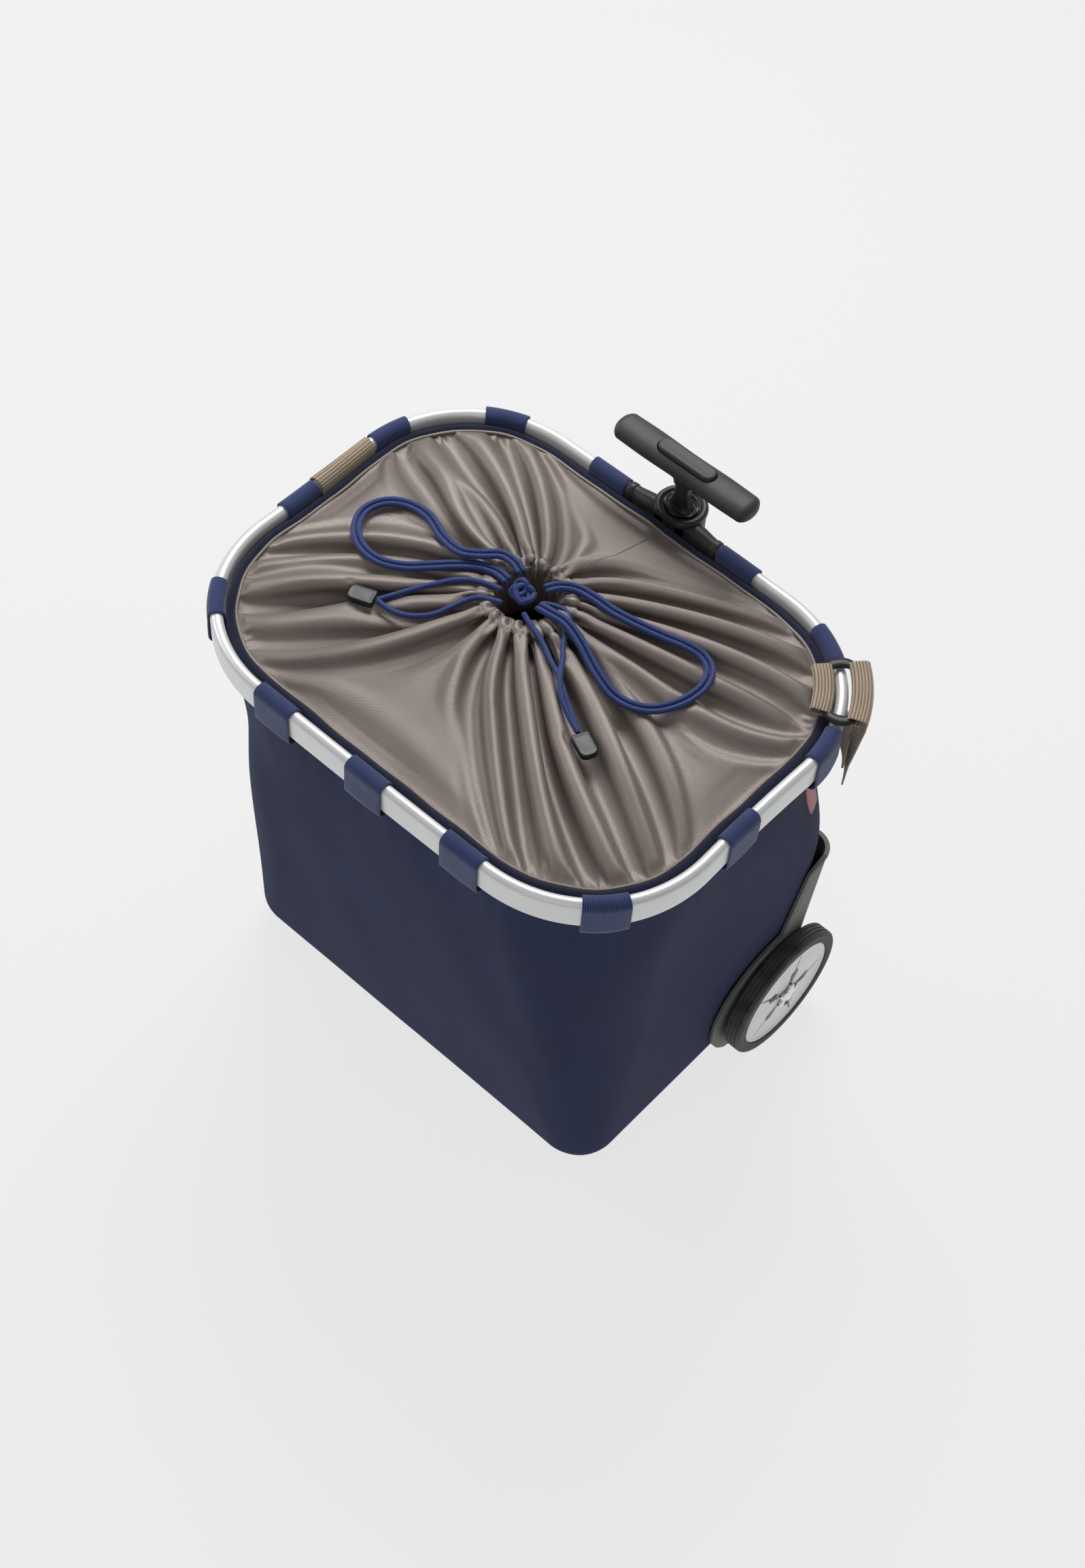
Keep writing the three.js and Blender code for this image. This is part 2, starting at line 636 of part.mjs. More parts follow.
function buckleOuterWrap() {
  const flap = new THREE.BoxGeometry(70, 1.8, 48, 4, 1, 3).translate(BUCKLE_UP - 37, BAR_OUT + 6, 0);
  const slant = (s, up) => [up < BUCKLE_UP - 3 ? -0.17 * (BUCKLE_UP - 3 - up) : 0, 0];
  return join(onRim(barWrap(BAR_OUT), BUCKLE_S), onRim(flap, BUCKLE_S, slant));
}

add("strap_left_wrap", strapWrap(), FINISH.strap);
add("carrying_strap", carryingStrap(), FINISH.strap);
add("strap_buckle", buckle(), FINISH.blackPlastic);
add("buckle_inner_wrap", onRim(barWrap(-BAR_OUT), BUCKLE_S), FINISH.strap);
add("buckle_outer_wrap", buckleOuterWrap(), FINISH.strap);
add("side_tab", sidePanel(-228, -207, 300, 350, 0.4, 2.2, 2), FINISH.tab);

// ---- drawstring: two doubled cords tied in a bow over the hole ----
// lays a flat or round section along a route, level across
function alongRoute(outline, route, steps) {
  const points = route.map((p) => new THREE.Vector3(...p));
  const curve = new THREE.CatmullRomCurve3(points, false, "centripetal");
  return warp(extruded(outline, 1, steps), (v) => {
    const share = THREE.MathUtils.clamp(v.z, 0, 1);
    const along = curve.getTangentAt(share);
    const across = new THREE.Vector3(0, 0, 1).cross(along).normalize();
    const above = along.clone().cross(across);
    const [sideways, upward] = [v.x, v.y];
    v.copy(curve.getPointAt(share)).addScaledVector(across, sideways).addScaledVector(above, upward);
  });
}
const cordSection = (halfWide) => (halfWide > CORD_R ? obround(halfWide, CORD_R, 0, 3)
  : new THREE.Shape(new THREE.EllipseCurve(0, 0, CORD_R, CORD_R).getPoints(8).slice(0, 8)));

// middle line of each bow loop's pair of cords
const LEFT_LOOP = [
  [-31, 27, 443], [-40, 30, 444], [-52, 29, 444], [-63, 20, 443], [-76, 14, 440],
  [-96, 17, 436], [-120, 26, 433], [-140, 25, 430], [-154, 17, 427], [-159, 3, 426],
  [-151, -14, 428], [-135, -25, 430], [-116, -27, 432], [-99, -20, 434], [-86, -8, 435],
  [-73, 5, 436], [-60, 15, 437], [-47, 19, 438], [-35, 18, 439],
];
const RIGHT_LOOP = [
  [-11, 28, 442], [-6, 38, 441], [3, 46, 439], [17, 49, 438], [33, 50, 437], [53, 54, 436],
  [72, 60, 434], [87, 65, 433], [101, 67, 431], [111, 62, 431], [117, 50, 431], [117, 35, 431],
  [113, 20, 432], [105, 8, 432], [93, 0, 433], [79, -2, 434], [65, 1, 436], [51, 6, 438],
  [36, 12, 441], [20, 16, 443], [6, 15, 443], [-5, 14, 442],
];
const LEFT_TAIL = [
  [
    [-33, 9, 439], [-40, 8, 438], [-48, 5, 438], [-56, 1, 437], [-64, -7, 437],
    [-71, -17, 436], [-78, -28, 435], [-84, -39, 434], [-89, -48, 433], [-92, -54.2, 433],
  ],
  [
    [-25, 1, 439], [-33, -2, 438], [-41, -7, 438], [-46, -15, 437], [-49, -25, 437],
    [-53, -36, 436], [-60, -45, 435], [-69, -51, 434], [-80, -54, 433], [-92, -54.2, 433],
  ],
];
const FRONT_TAIL = [
  [
    [-9, 4, 440], [-1, 1, 439], [9, -2, 438], [20, -6, 437], [31, -12, 437], [42, -17, 437],
    [53, -24, 437], [63, -30, 435.4], [73, -36, 434.6], [84, -42.5, 433.5],
  ],
  [
    [-7, 20, 437], [1, 25, 437], [10, 27, 437], [18, 22, 437], [23, 13, 437], [28, 4, 437],
    [36, -5, 438], [45, -18, 440], [57, -30, 438], [70, -37, 435.4], [84, -42.5, 433.5],
  ],
];

add("drawstring_left_loop", alongRoute(cordSection(2 * CORD_R), LEFT_LOOP, 44), FINISH.cord);
add("drawstring_right_loop", alongRoute(cordSection(2 * CORD_R), RIGHT_LOOP, 46), FINISH.cord);
const tail = (strands) => join(...strands.map((route) => alongRoute(cordSection(CORD_R), route, 15)));
add("drawstring_left_tail", tail(LEFT_TAIL), FINISH.cord);
add("drawstring_front_tail", tail(FRONT_TAIL), FINISH.cord);
const knot = new THREE.SphereGeometry(1, 12, 8).scale(10.5, 9.5, 7).translate(...KNOT);
add("drawstring_knot", knot, FINISH.cord);

// a flat moulded clip that ends a doubled tail
function cordClip(at, heading) {
  return extruded(roundedRectangle(9.5, 6.5, 3), 5.4)
    .translate(0, 0, -2.7)
    .rotateZ(heading)
    .translate(...at);
}
add("cord_clip_left", cordClip([-102.2, -58.3, 432.6], 0.37), FINISH.blackPlastic);
add("cord_clip_front", cordClip([93.5, -46.7, 433], -0.42), FINISH.blackPlastic);

export default trolley;
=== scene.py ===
import json
import math

import bpy
import numpy as np
from mathutils import Matrix, Vector


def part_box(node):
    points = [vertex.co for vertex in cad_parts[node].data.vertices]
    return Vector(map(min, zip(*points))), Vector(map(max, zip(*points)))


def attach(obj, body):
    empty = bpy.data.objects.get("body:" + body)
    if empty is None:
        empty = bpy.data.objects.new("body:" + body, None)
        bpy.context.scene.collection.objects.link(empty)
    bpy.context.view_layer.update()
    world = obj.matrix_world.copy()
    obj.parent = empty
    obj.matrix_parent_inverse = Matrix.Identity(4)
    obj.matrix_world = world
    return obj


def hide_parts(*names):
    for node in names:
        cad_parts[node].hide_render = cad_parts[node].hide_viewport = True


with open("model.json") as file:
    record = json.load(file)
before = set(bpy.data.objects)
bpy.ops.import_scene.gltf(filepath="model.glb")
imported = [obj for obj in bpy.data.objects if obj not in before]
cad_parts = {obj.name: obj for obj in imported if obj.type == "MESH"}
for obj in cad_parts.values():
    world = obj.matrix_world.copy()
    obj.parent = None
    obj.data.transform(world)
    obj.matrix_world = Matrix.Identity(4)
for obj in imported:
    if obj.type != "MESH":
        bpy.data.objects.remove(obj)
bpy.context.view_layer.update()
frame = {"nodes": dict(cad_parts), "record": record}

# ---- driving dimensions, in metres ----
MM = 0.001
ring_low, ring_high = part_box("frame_ring")
RING_CENTRE = (np.array(ring_low) + np.array(ring_high)) / 2
RING_Z = RING_CENTRE[2]
ORIGIN = np.array([RING_CENTRE[0], RING_CENTRE[1], 0.0])  # the ring's middle, on the floor
RING_HALF_W = 204.8 * MM
RING_HALF_D = 156.5 * MM
RING_CORNER = 104 * MM
RING_END_FLARE = 0.036
RING_SIDE_BOW = 0.018
RING_END = 26 * MM
TUBE_HALF_TALL = 13 * MM
TUBE_HALF_WIDE = 4.5 * MM
STRAIGHT_X = RING_HALF_W - RING_CORNER
STRAIGHT_Y = RING_HALF_D - RING_CORNER
QUARTER_ARC = math.pi / 2 * RING_CORNER
PERIMETER = 4 * (STRAIGHT_X + STRAIGHT_Y + QUARTER_ARC)

BAG_BOTTOM = 12 * MM
BAG_TOP = 398.7 * MM
RIM_INSET = 7 * MM
BASE_HALF_W = 183.5 * MM
BASE_FRONT = -113 * MM
BASE_BACK = 137 * MM
BASE_CORNER = 32 * MM

POLE_Y = 162.5 * MM
GRIP_Z = 468.6 * MM
WHEEL_R = 59.7 * MM
WHEEL_Y = 100.7 * MM
CORD_R = 2.1 * MM
HOLE = np.array([-19, 20]) * MM
KNOT = np.array([-20, 15, 442]) * MM


# ---- mesh helpers ----
def smooth_step(low, high, x):
    t = np.clip((x - low) / (high - low), 0, 1)
    return t * t * (3 - 2 * t)


def from_ring(points):
    """Points measured from the ring's middle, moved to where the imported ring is."""
    return np.asarray(points, float) + ORIGIN


def make_piece(name, points, faces, uv=None):
    """A mesh object from ring-centred points. uv holds one pair for each point."""
    mesh = bpy.data.meshes.new(name)
    mesh.from_pydata(from_ring(points).tolist(), [], [list(map(int, f)) for f in faces])
    if uv is not None:
        layer = mesh.uv_layers.new(name="UVMap")
        corner_points = np.zeros(len(mesh.loops), int)
        mesh.loops.foreach_get("vertex_index", corner_points)
        layer.data.foreach_set("uv", np.asarray(uv, float)[corner_points].ravel())
    mesh.polygons.foreach_set("use_smooth", [True] * len(mesh.polygons))
    mesh.update()
    piece = bpy.data.objects.new(name, mesh)
    bpy.context.scene.collection.objects.link(piece)
    return piece


def grid_faces(rows, columns, wrap_rows=False, wrap_columns=False):
    """Quads between neighbouring points of a grid."""
    i = np.arange(rows if wrap_rows else rows - 1)[:, None]
    j = np.arange(columns if wrap_columns else columns - 1)[None, :]
    i2, j2 = (i + 1) % rows, (j + 1) % columns
    quads = [i * columns + j, i * columns + j2, i2 * columns + j2, i2 * columns + j]
    return np.stack(np.broadcast_arrays(*quads), -1).reshape(-1, 4)


def swept(name, sections, uv=None, closed_path=False):
    """A skin over sections: an array of path steps by section points by 3."""
    steps, sides, _ = sections.shape
    points = sections.reshape(-1, 3)
    faces = grid_faces(steps, sides, closed_path, True).tolist()
    if not closed_path:
        faces += [list(range(sides))[::-1], [(steps - 1) * sides + k for k in range(sides)]]
    return make_piece(name, points, faces, None if uv is None else uv.reshape(-1, 2))


# ---- the rim: distance s runs left from the back middle, all the way round ----
def rim_frame(s):
    """The centre of curvature and the outward direction at each distance."""
    s = np.mod(np.asarray(s, float), PERIMETER)
    left_half = s <= PERIMETER / 2
    side = np.where(left_half, -1.0, 1.0)
    d = np.where(left_half, s, PERIMETER - s)
    first = np.clip((d - STRAIGHT_X) / RING_CORNER, 0, math.pi / 2)
    second = np.clip((d - STRAIGHT_X - QUARTER_ARC - 2 * STRAIGHT_Y) / RING_CORNER, 0, math.pi / 2)
    turn = first + second
    last = np.clip(d - STRAIGHT_X - 2 * QUARTER_ARC - 2 * STRAIGHT_Y, 0, STRAIGHT_X)
    core_x = np.where(last > 0, STRAIGHT_X - last, np.clip(d, 0, STRAIGHT_X))
    core_y = STRAIGHT_Y - np.clip(d - STRAIGHT_X - QUARTER_ARC, 0, 2 * STRAIGHT_Y)
    core = np.stack([core_x * side, core_y], -1)
    out = np.stack([np.sin(turn) * side, np.cos(turn)], -1)
    return core, out


def flare(xy):
    """The ring is not quite a rounded rectangle: its ends are flatter and its long sides bow outward."""
    x, y = xy[..., 0], xy[..., 1]
    return np.stack([
        x * (1 + RING_END_FLARE * (y / RING_HALF_D) ** 2),
        y * (1 - RING_SIDE_BOW * (x / RING_HALF_W) ** 2),
    ], -1)


def on_rim(s, outward, up):
    """Points at distance s, outward from the tube's centreline and up from it."""
    s, outward, up = np.broadcast_arrays(s, outward, up)
    core, out = rim_frame(s)
    xy = flare(core + out * (RING_CORNER + outward)[..., None])
    return np.concatenate([xy, (RING_Z + up)[..., None]], -1)


def along_rim(name, section, s, lean=None, closed_path=False):
    """Sweeps a section of (outward, up) pairs along the rim. lean gives a shift at each s."""
    section = np.asarray(section, float)
    shift = np.zeros((len(s), 2)) if lean is None else np.asarray(lean(s))
    outward = section[None, :, 0] + shift[:, :1]
    up = section[None, :, 1] + shift[:, 1:]
    points = on_rim(np.asarray(s)[:, None], outward, up)
    lengths = np.linalg.norm(np.diff(section, axis=0, append=section[:1]), axis=1)
    across = np.concatenate([[0], np.cumsum(lengths)[:-1]])
    uv = np.stack(np.broadcast_arrays(np.asarray(s)[:, None], across[None, :]), -1)
    return swept(name, points, uv, closed_path)


# ---- the bag's side: the rim's outline above, a smaller rectangle below ----
def bag_outline(z, back_square):
    """Half width, front, back, front corner, back corner and share of the way up, at each height."""
    t = np.clip((z - BAG_BOTTOM) / (BAG_TOP - BAG_BOTTOM), 0, 1)
    belly = np.sin(np.pi * t)
    top_d = RING_HALF_D - RIM_INSET
    front = BASE_FRONT + (-top_d - BASE_FRONT) * t**0.95 - 4 * MM * belly
    back = BASE_BACK + (top_d - BASE_BACK) * t
    half_w = BASE_HALF_W + (RING_HALF_W - RIM_INSET - BASE_HALF_W) * t**1.4 + 0.6 * MM * belly
    top_corner = RING_CORNER - RIM_INSET
    front_corner = BASE_CORNER + (top_corner - BASE_CORNER) * t**1.25 + 12 * MM * belly
    # the moulded cheeks, which are squarer than the cloth, round off a little lower down
    low, high = (0.5, 0.9) if back_square < 20 * MM else (0.52, 0.92)
    back_corner = back_square + (top_corner - back_square) * smooth_step(low, high, t)
    return half_w, front, back, front_corner, back_corner, t


def on_bag(s, outward, z, back_square=30 * MM):
    """Points on the bag's side at distance s, height z and that far outward.
    back_square is the radius of its lower back corners: the cloth is rounder than the chassis."""
    s, outward, z = np.broadcast_arrays(s, outward, z)
    core, out = rim_frame(s)
    half_w, front, back, front_corner, back_corner, t = bag_outline(z, back_square)
    corner = np.where(core[..., 1] > 0, back_corner, front_corner)
    x = core[..., 0] / STRAIGHT_X * (half_w - corner) + out[..., 0] * (corner + outward)
    to_back = (core[..., 1] / STRAIGHT_Y + 1) / 2
    core_y = (front + front_corner) * (1 - to_back) + (back - back_corner) * to_back
    xy = np.stack([x, core_y + out[..., 1] * (corner + outward)], -1)
    xy = xy + (flare(xy) - xy) * t[..., None]
    return np.concatenate([xy, z[..., None]], -1)


# ---- section outlines ----
def arc(cx, cy, r, start, end, steps):
    a = np.linspace(start, end, steps + 1)
    return np.stack([cx + r * np.cos(a), cy + r * np.sin(a)], -1)


def obround(half_long, half_wide, steps):
    """A closed outline with half-circle ends, long in its second number."""
    straight = half_long - half_wide
    top = arc(0, straight, half_wide, 0, math.pi, steps)
    return np.concatenate([top, arc(0, -straight, half_wide, math.pi, 2 * math.pi, steps)])


def rounded_box(half_w, half_h, r, steps=4):
    """A rectangle with rounded corners, anticlockwise."""
    corners = [(1, 1, 0), (-1, 1, 1), (-1, -1, 2), (1, -1, 3)]
    return np.concatenate([
        arc(i * (half_w - r), j * (half_h - r), r, k * math.pi / 2, (k + 1) * math.pi / 2, steps)
        for i, j, k in corners
    ])


def at_height(plan, z):
    """A flat outline's points with one height added to them."""
    return np.concatenate([plan, np.full((len(plan), 1), z)], -1)


# ---- materials ----
def hex_colour(code):
    """An sRGB hex colour as linear RGBA."""
    srgb = [int(code[i:i + 2], 16) / 255 for i in (0, 2, 4)]
    return [c / 12.92 if c <= 0.04045 else ((c + 0.055) / 1.055) ** 2.4 for c in srgb] + [1.0]


class Finish:
    """A node material and short calls that add nodes to it."""

    def __init__(self, name, roughness, **sockets):
        self.material = bpy.data.materials.new(name)
        self.material.use_nodes = True
        self.tree = self.material.node_tree
        self.shader = self.tree.nodes["Principled BSDF"]
        self.shader.inputs["Roughness"].default_value = roughness
        for socket, value in sockets.items():
            self.shader.inputs[socket.replace("_", " ")].default_value = value

    def node(self, kind, inputs=(), **settings):
        made = self.tree.nodes.new(kind)
        for key, value in settings.items():
            setattr(made, key, value)
        for key, value in dict(inputs).items():
            if isinstance(value, bpy.types.NodeSocket):
                self.tree.links.new(value, made.inputs[key])
            else:
                made.inputs[key].default_value = value
        return made

    def maths(self, operation, *values, clamp=False):
        made = self.node("ShaderNodeMath", dict(enumerate(values)), operation=operation)
        made.use_clamp = clamp
        return made.outputs[0]

    def uv(self):
        """The UV map's two numbers, which are lengths in metres."""
        split = self.node("ShaderNodeSeparateXYZ", {0: self.node("ShaderNodeUVMap").outputs[0]})
        return split.outputs[0], split.outputs[1]

    def place(self):
        return self.node("ShaderNodeTexCoord").outputs["Object"]

    def noise(self, scale, detail=2.0, where=None, roughness=0.5):
        inputs = {"Vector": where or self.place(), "Scale": scale, "Detail": detail,
                  "Roughness": roughness}
        return self.node("ShaderNodeTexNoise", inputs).outputs[0]

    def wave(self, length, pitch):
        """A wave from 0 to 1 along a length."""
        turned = self.maths("MULTIPLY", length, 2 * math.pi / pitch)
        return self.maths("MULTIPLY_ADD", self.maths("SINE", turned), 0.5, 0.5)

    def ramp(self, factor, stops):
        made = self.node("ShaderNodeValToRGB", {0: factor})
        elements = made.color_ramp.elements
        while len(elements) < len(stops):
            elements.new(0.5)
        for element, (position, colour) in zip(elements, stops):
            element.position = position
            element.color = hex_colour(colour)
        return made.outputs[0]

    def colour(self, socket):
        self.tree.links.new(socket, self.shader.inputs["Base Color"])

    def rough(self, factor, low, high):
        mapped = self.node("ShaderNodeMapRange", {0: factor, 3: low, 4: high})
        self.tree.links.new(mapped.outputs[0], self.shader.inputs["Roughness"])

    def bump(self, height, distance):
        """Adds a bump on top of those already there."""
        made = self.node("ShaderNodeBump", {"Height": height, "Distance": distance})
        normal = self.shader.inputs["Normal"]
        if normal.is_linked:
            self.tree.links.new(normal.links[0].from_socket, made.inputs["Normal"])
        self.tree.links.new(made.outputs[0], normal)


def moulded_plastic(name, dark, light, roughness, grain=0.00006, scale=2600):
    """Moulded plastic: a fine spark-eroded grain, and slow changes in shine."""
    f = Finish(name, roughness, Specular_IOR_Level=0.4)
    slow = f.noise(18, 3)
    f.colour(f.ramp(slow, [(0.3, dark), (0.7, light)]))
    f.rough(slow, roughness - 0.05, roughness + 0.06)
    f.bump(f.noise(scale, 1), grain)
    return f.material


def plain_metal(name, dark, light, roughness, metallic):
    """Satin metal with faint marks along it."""
    f = Finish(name, roughness, Metallic=metallic)
    where = f.node("ShaderNodeMapping", {0: f.place(), "Scale": (0.25, 0.25, 1)}).outputs[0]
    marks = f.noise(900, 2, where)
    f.colour(f.ramp(f.noise(12, 2), [(0.3, dark), (0.7, light)]))
    f.rough(marks, roughness - 0.03, roughness + 0.03)
    f.bump(marks, 0.000004)
    return f.material


def plain_weave(name, stops, pitch, depth, roughness, sheen):
    """Plain-woven cloth: threads over and under, painted lighter where they lie over as painted highlight and
    darker where they dip as painted shade, with slow wear in the colour.
    """
    f = Finish(name, roughness, Sheen_Weight=sheen, Sheen_Roughness=0.45, Specular_IOR_Level=0.25)
    u, v = f.uv()
    over = f.maths("MULTIPLY", f.wave(u, pitch), f.wave(v, pitch))
    speckle = f.noise(1900, 2)
    slow = f.noise(9, 3)
    # painted shade and highlight: the weave's height goes into the colour; speckle and slow add random tone
    mixed = f.maths("ADD", f.maths("MULTIPLY", over, 0.25), f.maths("MULTIPLY", speckle, 0.45))
    shade = f.maths("ADD", mixed, f.maths("MULTIPLY", slow, 0.4), clamp=True)
    f.colour(f.ramp(shade, stops))
    f.bump(over, depth)
    f.bump(speckle, depth * 0.7)
    return f.material


def ribbed_webbing(name, stops, rib, pick, depth, across=0):
    """Webbing: ribs along the tape, with picks across them, and their height painted into the colour as shade
    in the grooves and highlight on the ribs. across says which UV crosses the ribs.
    """
    f = Finish(name, 0.75, Sheen_Weight=0.25, Sheen_Roughness=0.5, Specular_IOR_Level=0.25)
    uv = f.uv()
    ribs = f.wave(uv[across], rib)
    step = f.maths("ADD", uv[1 - across], f.maths("MULTIPLY", f.maths("ROUND", f.maths(
        "DIVIDE", uv[across], rib)), pick / 2))
    picks = f.wave(step, pick)
    height = f.maths("ADD", f.maths("MULTIPLY", ribs, 0.7), f.maths("MULTIPLY", picks, 0.3))
    slow = f.noise(60, 3)
    # painted shade and highlight: the colour follows the ribs' and picks' height, darker in the grooves; slow
    # adds a random tone
    shade = f.maths("ADD", f.maths("MULTIPLY", height, 0.75), f.maths("MULTIPLY", slow, 0.25))
    f.colour(f.ramp(shade, stops))
    f.bump(height, depth)
    return f.material


def cover_twill():
    """Soft satin twill: fine diagonal lines, painted into the colour as shade in their grooves and highlight
    on their ridges, and a silky shine.
    """
    f = Finish("cover_twill", 0.42, Sheen_Weight=0.1, Sheen_Roughness=0.3, Specular_IOR_Level=0.7,
               Metallic=0.4, Anisotropic=0.2)
    u, v = f.uv()
    lines = f.wave(f.maths("ADD", u, v), 1.15 * MM)
    threads = f.wave(f.maths("SUBTRACT", u, v), 0.8 * MM)
    slow = f.noise(14, 3)
    # painted shade and highlight: the height of the twill lines and threads goes into the colour; slow adds
    # random tone
    fine = f.maths("ADD", f.maths("MULTIPLY", lines, 0.28), f.maths("MULTIPLY", threads, 0.08))
    shade = f.maths("ADD", fine, f.maths("MULTIPLY", slow, 0.6))
    f.colour(f.ramp(shade, [(0.15, "6F6661"), (0.5, "857B75"), (0.9, "978D86")]))
    f.rough(lines, 0.38, 0.46)
    f.bump(lines, 0.00009)
    return f.material


def fuzzy_band():
    """The soft side of a hook-and-loop band: short tangled loops."""
    f = Finish("fuzzy_band", 0.95, Sheen_Weight=0.15, Sheen_Roughness=0.6, Specular_IOR_Level=0.1)
    tangle = f.noise(1500, 4, roughness=0.7)
    f.colour(f.ramp(tangle, [(0.3, "060A18"), (0.55, "121A38"), (0.75, "28345C")]))
    f.bump(tangle, 0.0006)
    return f.material


def braided_cord():
    """Round braid: its strands are in the mesh; colour follows their height, as painted shade between the
    strands and painted highlight on their tops.
    """
    f = Finish("braided_cord", 0.55, Sheen_Weight=0.2, Sheen_Roughness=0.4, Specular_IOR_Level=0.35)
    height = f.node("ShaderNodeAttribute", attribute_name="strand").outputs["Fac"]
    fibre = f.noise(3200, 2)
    # painted shade and highlight: the strands' height sets most of the colour; fibre adds random tone
    shade = f.maths("ADD", f.maths("MULTIPLY", height, 0.8), f.maths("MULTIPLY", fibre, 0.25))
    f.colour(f.ramp(shade, [(0.1, "070C24"), (0.5, "142456"), (0.95, "2D4689")]))
    f.bump(fibre, 0.00008)
    return f.material


def tyre_rubber():
    f = Finish("tyre_rubber", 0.62, Specular_IOR_Level=0.4)
    dust = f.noise(70, 4)
    f.colour(f.ramp(dust, [(0.3, "2A2B2C"), (0.7, "4A4B4C")]))
    f.rough(dust, 0.52, 0.72)
    f.bump(f.noise(1800, 2), 0.00005)
    return f.material


def wheel_disc():
    """Pale moulded disc; the slots in it are painted near black inside, as painted shade in the openings."""
    f = Finish("wheel_disc", 0.3, Specular_IOR_Level=0.5)
    depth = f.node("ShaderNodeAttribute", attribute_name="painted_slot_shade").outputs["Fac"]
    wear = f.noise(40, 3)
    pale = f.ramp(wear, [(0.3, "D6D8D9"), (0.7, "E2E4E4")])
    # painted shade: near black on the slots' floors, laid on by their depth
    dark = f.ramp(wear, [(0.3, "0C0D0E"), (0.7, "17191A")])
    mix = f.node("ShaderNodeMix", {0: depth}, data_type="RGBA")
    f.tree.links.new(pale, mix.inputs[6])
    f.tree.links.new(dark, mix.inputs[7])
    f.colour(mix.outputs[2])
    f.bump(f.noise(1500, 1), 0.00002)
    return f.material


NAVY = [(0.15, "0C1530"), (0.5, "152144"), (0.9, "20305C")]
finishes = {
    "aluminium": plain_metal("satin_aluminium", "D6D7D8", "DFE0E0", 0.36, 0.3),
    "steel": plain_metal("bright_steel", "A9A9A9", "C4C4C4", 0.25, 1.0),
    "chrome": plain_metal("chrome", "CFCFCF", "E6E6E6", 0.1, 1.0),
    "black": moulded_plastic("black_plastic", "222324", "303132", 0.42),
    "gloss_black": moulded_plastic("gloss_black_plastic", "121314", "1A1B1C", 0.34),
    "grip": moulded_plastic("grip_plastic", "2D2E2F", "3A3B3C", 0.5, 0.0001, 2000),
    "chassis": moulded_plastic("chassis_plastic", "50534F", "5D605C", 0.52, 0.0001, 1800),
    "board": moulded_plastic("board_plastic", "1D1E20", "292A2C", 0.6),
    "tyre": tyre_rubber(),
    "disc": wheel_disc(),
    "bag": plain_weave("bag_cloth", NAVY, 0.95 * MM, 0.00012, 0.85, 0.04),
    "loop": ribbed_webbing("navy_webbing", [(0.1, "141C3A"), (0.5, "27345F"), (0.9, "3F5084")],
                           1.5 * MM, 1.3 * MM, 0.0002),
    "strap": ribbed_webbing("beige_webbing", [(0.1, "5B4D40"), (0.45, "93816D"), (0.9, "C0B09B")],
                            2.1 * MM, 1.2 * MM, 0.0004, across=1),
    "tab": ribbed_webbing("pink_tape", [(0.1, "8E4C55"), (0.5, "B0666D"), (0.9, "CB8A8C")],
                          1.2 * MM, 1.0 * MM, 0.0001),
    "cover": cover_twill(),
    "fuzz": fuzzy_band(),
    "cord": braided_cord(),
}


def dress(piece, finish, body="root", replaces=()):
    """The piece's material, the body it rides on, and what it stands for."""
    piece.data.materials.clear()
    piece.data.materials.append(finishes[finish])
    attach(piece, body)
    if replaces:
        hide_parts(*replaces)
    return piece


# ---- camera ----
CAMERA_AT = np.array([697.35, -852.0, 1820.66]) * MM
CAMERA_TARGET = np.array([10.78, 15.86, 241.99]) * MM
CAMERA_ROLL = math.radians(4.67)
CAMERA_LENS = 59.3  # on a 36 mm long side


def make_camera():
    data = bpy.data.cameras.new("camera")
    data.lens = CAMERA_LENS
    data.sensor_width = 36
    data.clip_start, data.clip_end = 0.05, 50
    camera = bpy.data.objects.new("camera", data)
    bpy.context.scene.collection.objects.link(camera)
    back = Vector(CAMERA_AT - CAMERA_TARGET).normalized()
    right = Vector((0, 0, 1)).cross(back).normalized()
    up = back.cross(right)
    c, s = math.cos(CAMERA_ROLL), math.sin(CAMERA_ROLL)
    turned_right = right * c + up * s
    turned_up = up * c - right * s
    camera.matrix_world = Matrix.Translation(Vector(from_ring(CAMERA_AT))) @ Matrix(
        (turned_right, turned_up, back)).transposed().to_4x4()
    bpy.context.scene.camera = camera


make_camera()

# ---- drawstring: two doubled cords tied in a bow over the gathered hole ----
LEFT_LOOP = [
    (-31, 27, 443), (-40, 30, 444), (-52, 29, 444), (-63, 20, 443), (-76, 14, 440), (-96, 17, 436),
    (-120, 26, 433), (-140, 25, 430), (-154, 17, 427), (-159, 3, 426), (-151, -14, 428),
    (-135, -25, 430), (-116, -27, 432), (-99, -20, 434), (-86, -8, 435), (-73, 5, 436),
    (-60, 15, 437), (-47, 19, 438), (-35, 18, 439)]
RIGHT_LOOP = [
    (-11, 28, 442), (-6, 38, 441), (3, 46, 439), (17, 49, 438), (33, 50, 437), (53, 54, 436),
    (72, 60, 434), (87, 65, 433), (101, 67, 431), (111, 62, 431), (117, 50, 431), (117, 35, 431),
    (113, 20, 432), (105, 8, 432), (93, 0, 433), (79, -2, 434), (65, 1, 436), (51, 6, 438),
    (36, 12, 441), (20, 16, 443), (6, 15, 443), (-5, 14, 442)]
LEFT_TAIL_UPPER = [
    (-33, 9, 439), (-40, 8, 438), (-48, 5, 438), (-56, 1, 437), (-64, -7, 437), (-71, -17, 436),
    (-78, -28, 435), (-84, -39, 434), (-89, -48, 433), (-92, -54.2, 433)]
LEFT_TAIL_LOWER = [
    (-25, 1, 439), (-33, -2, 438), (-41, -7, 438), (-46, -15, 437), (-49, -25, 437),
    (-53, -36, 436), (-60, -45, 435), (-69, -51, 434), (-80, -54, 433), (-92, -54.2, 433)]
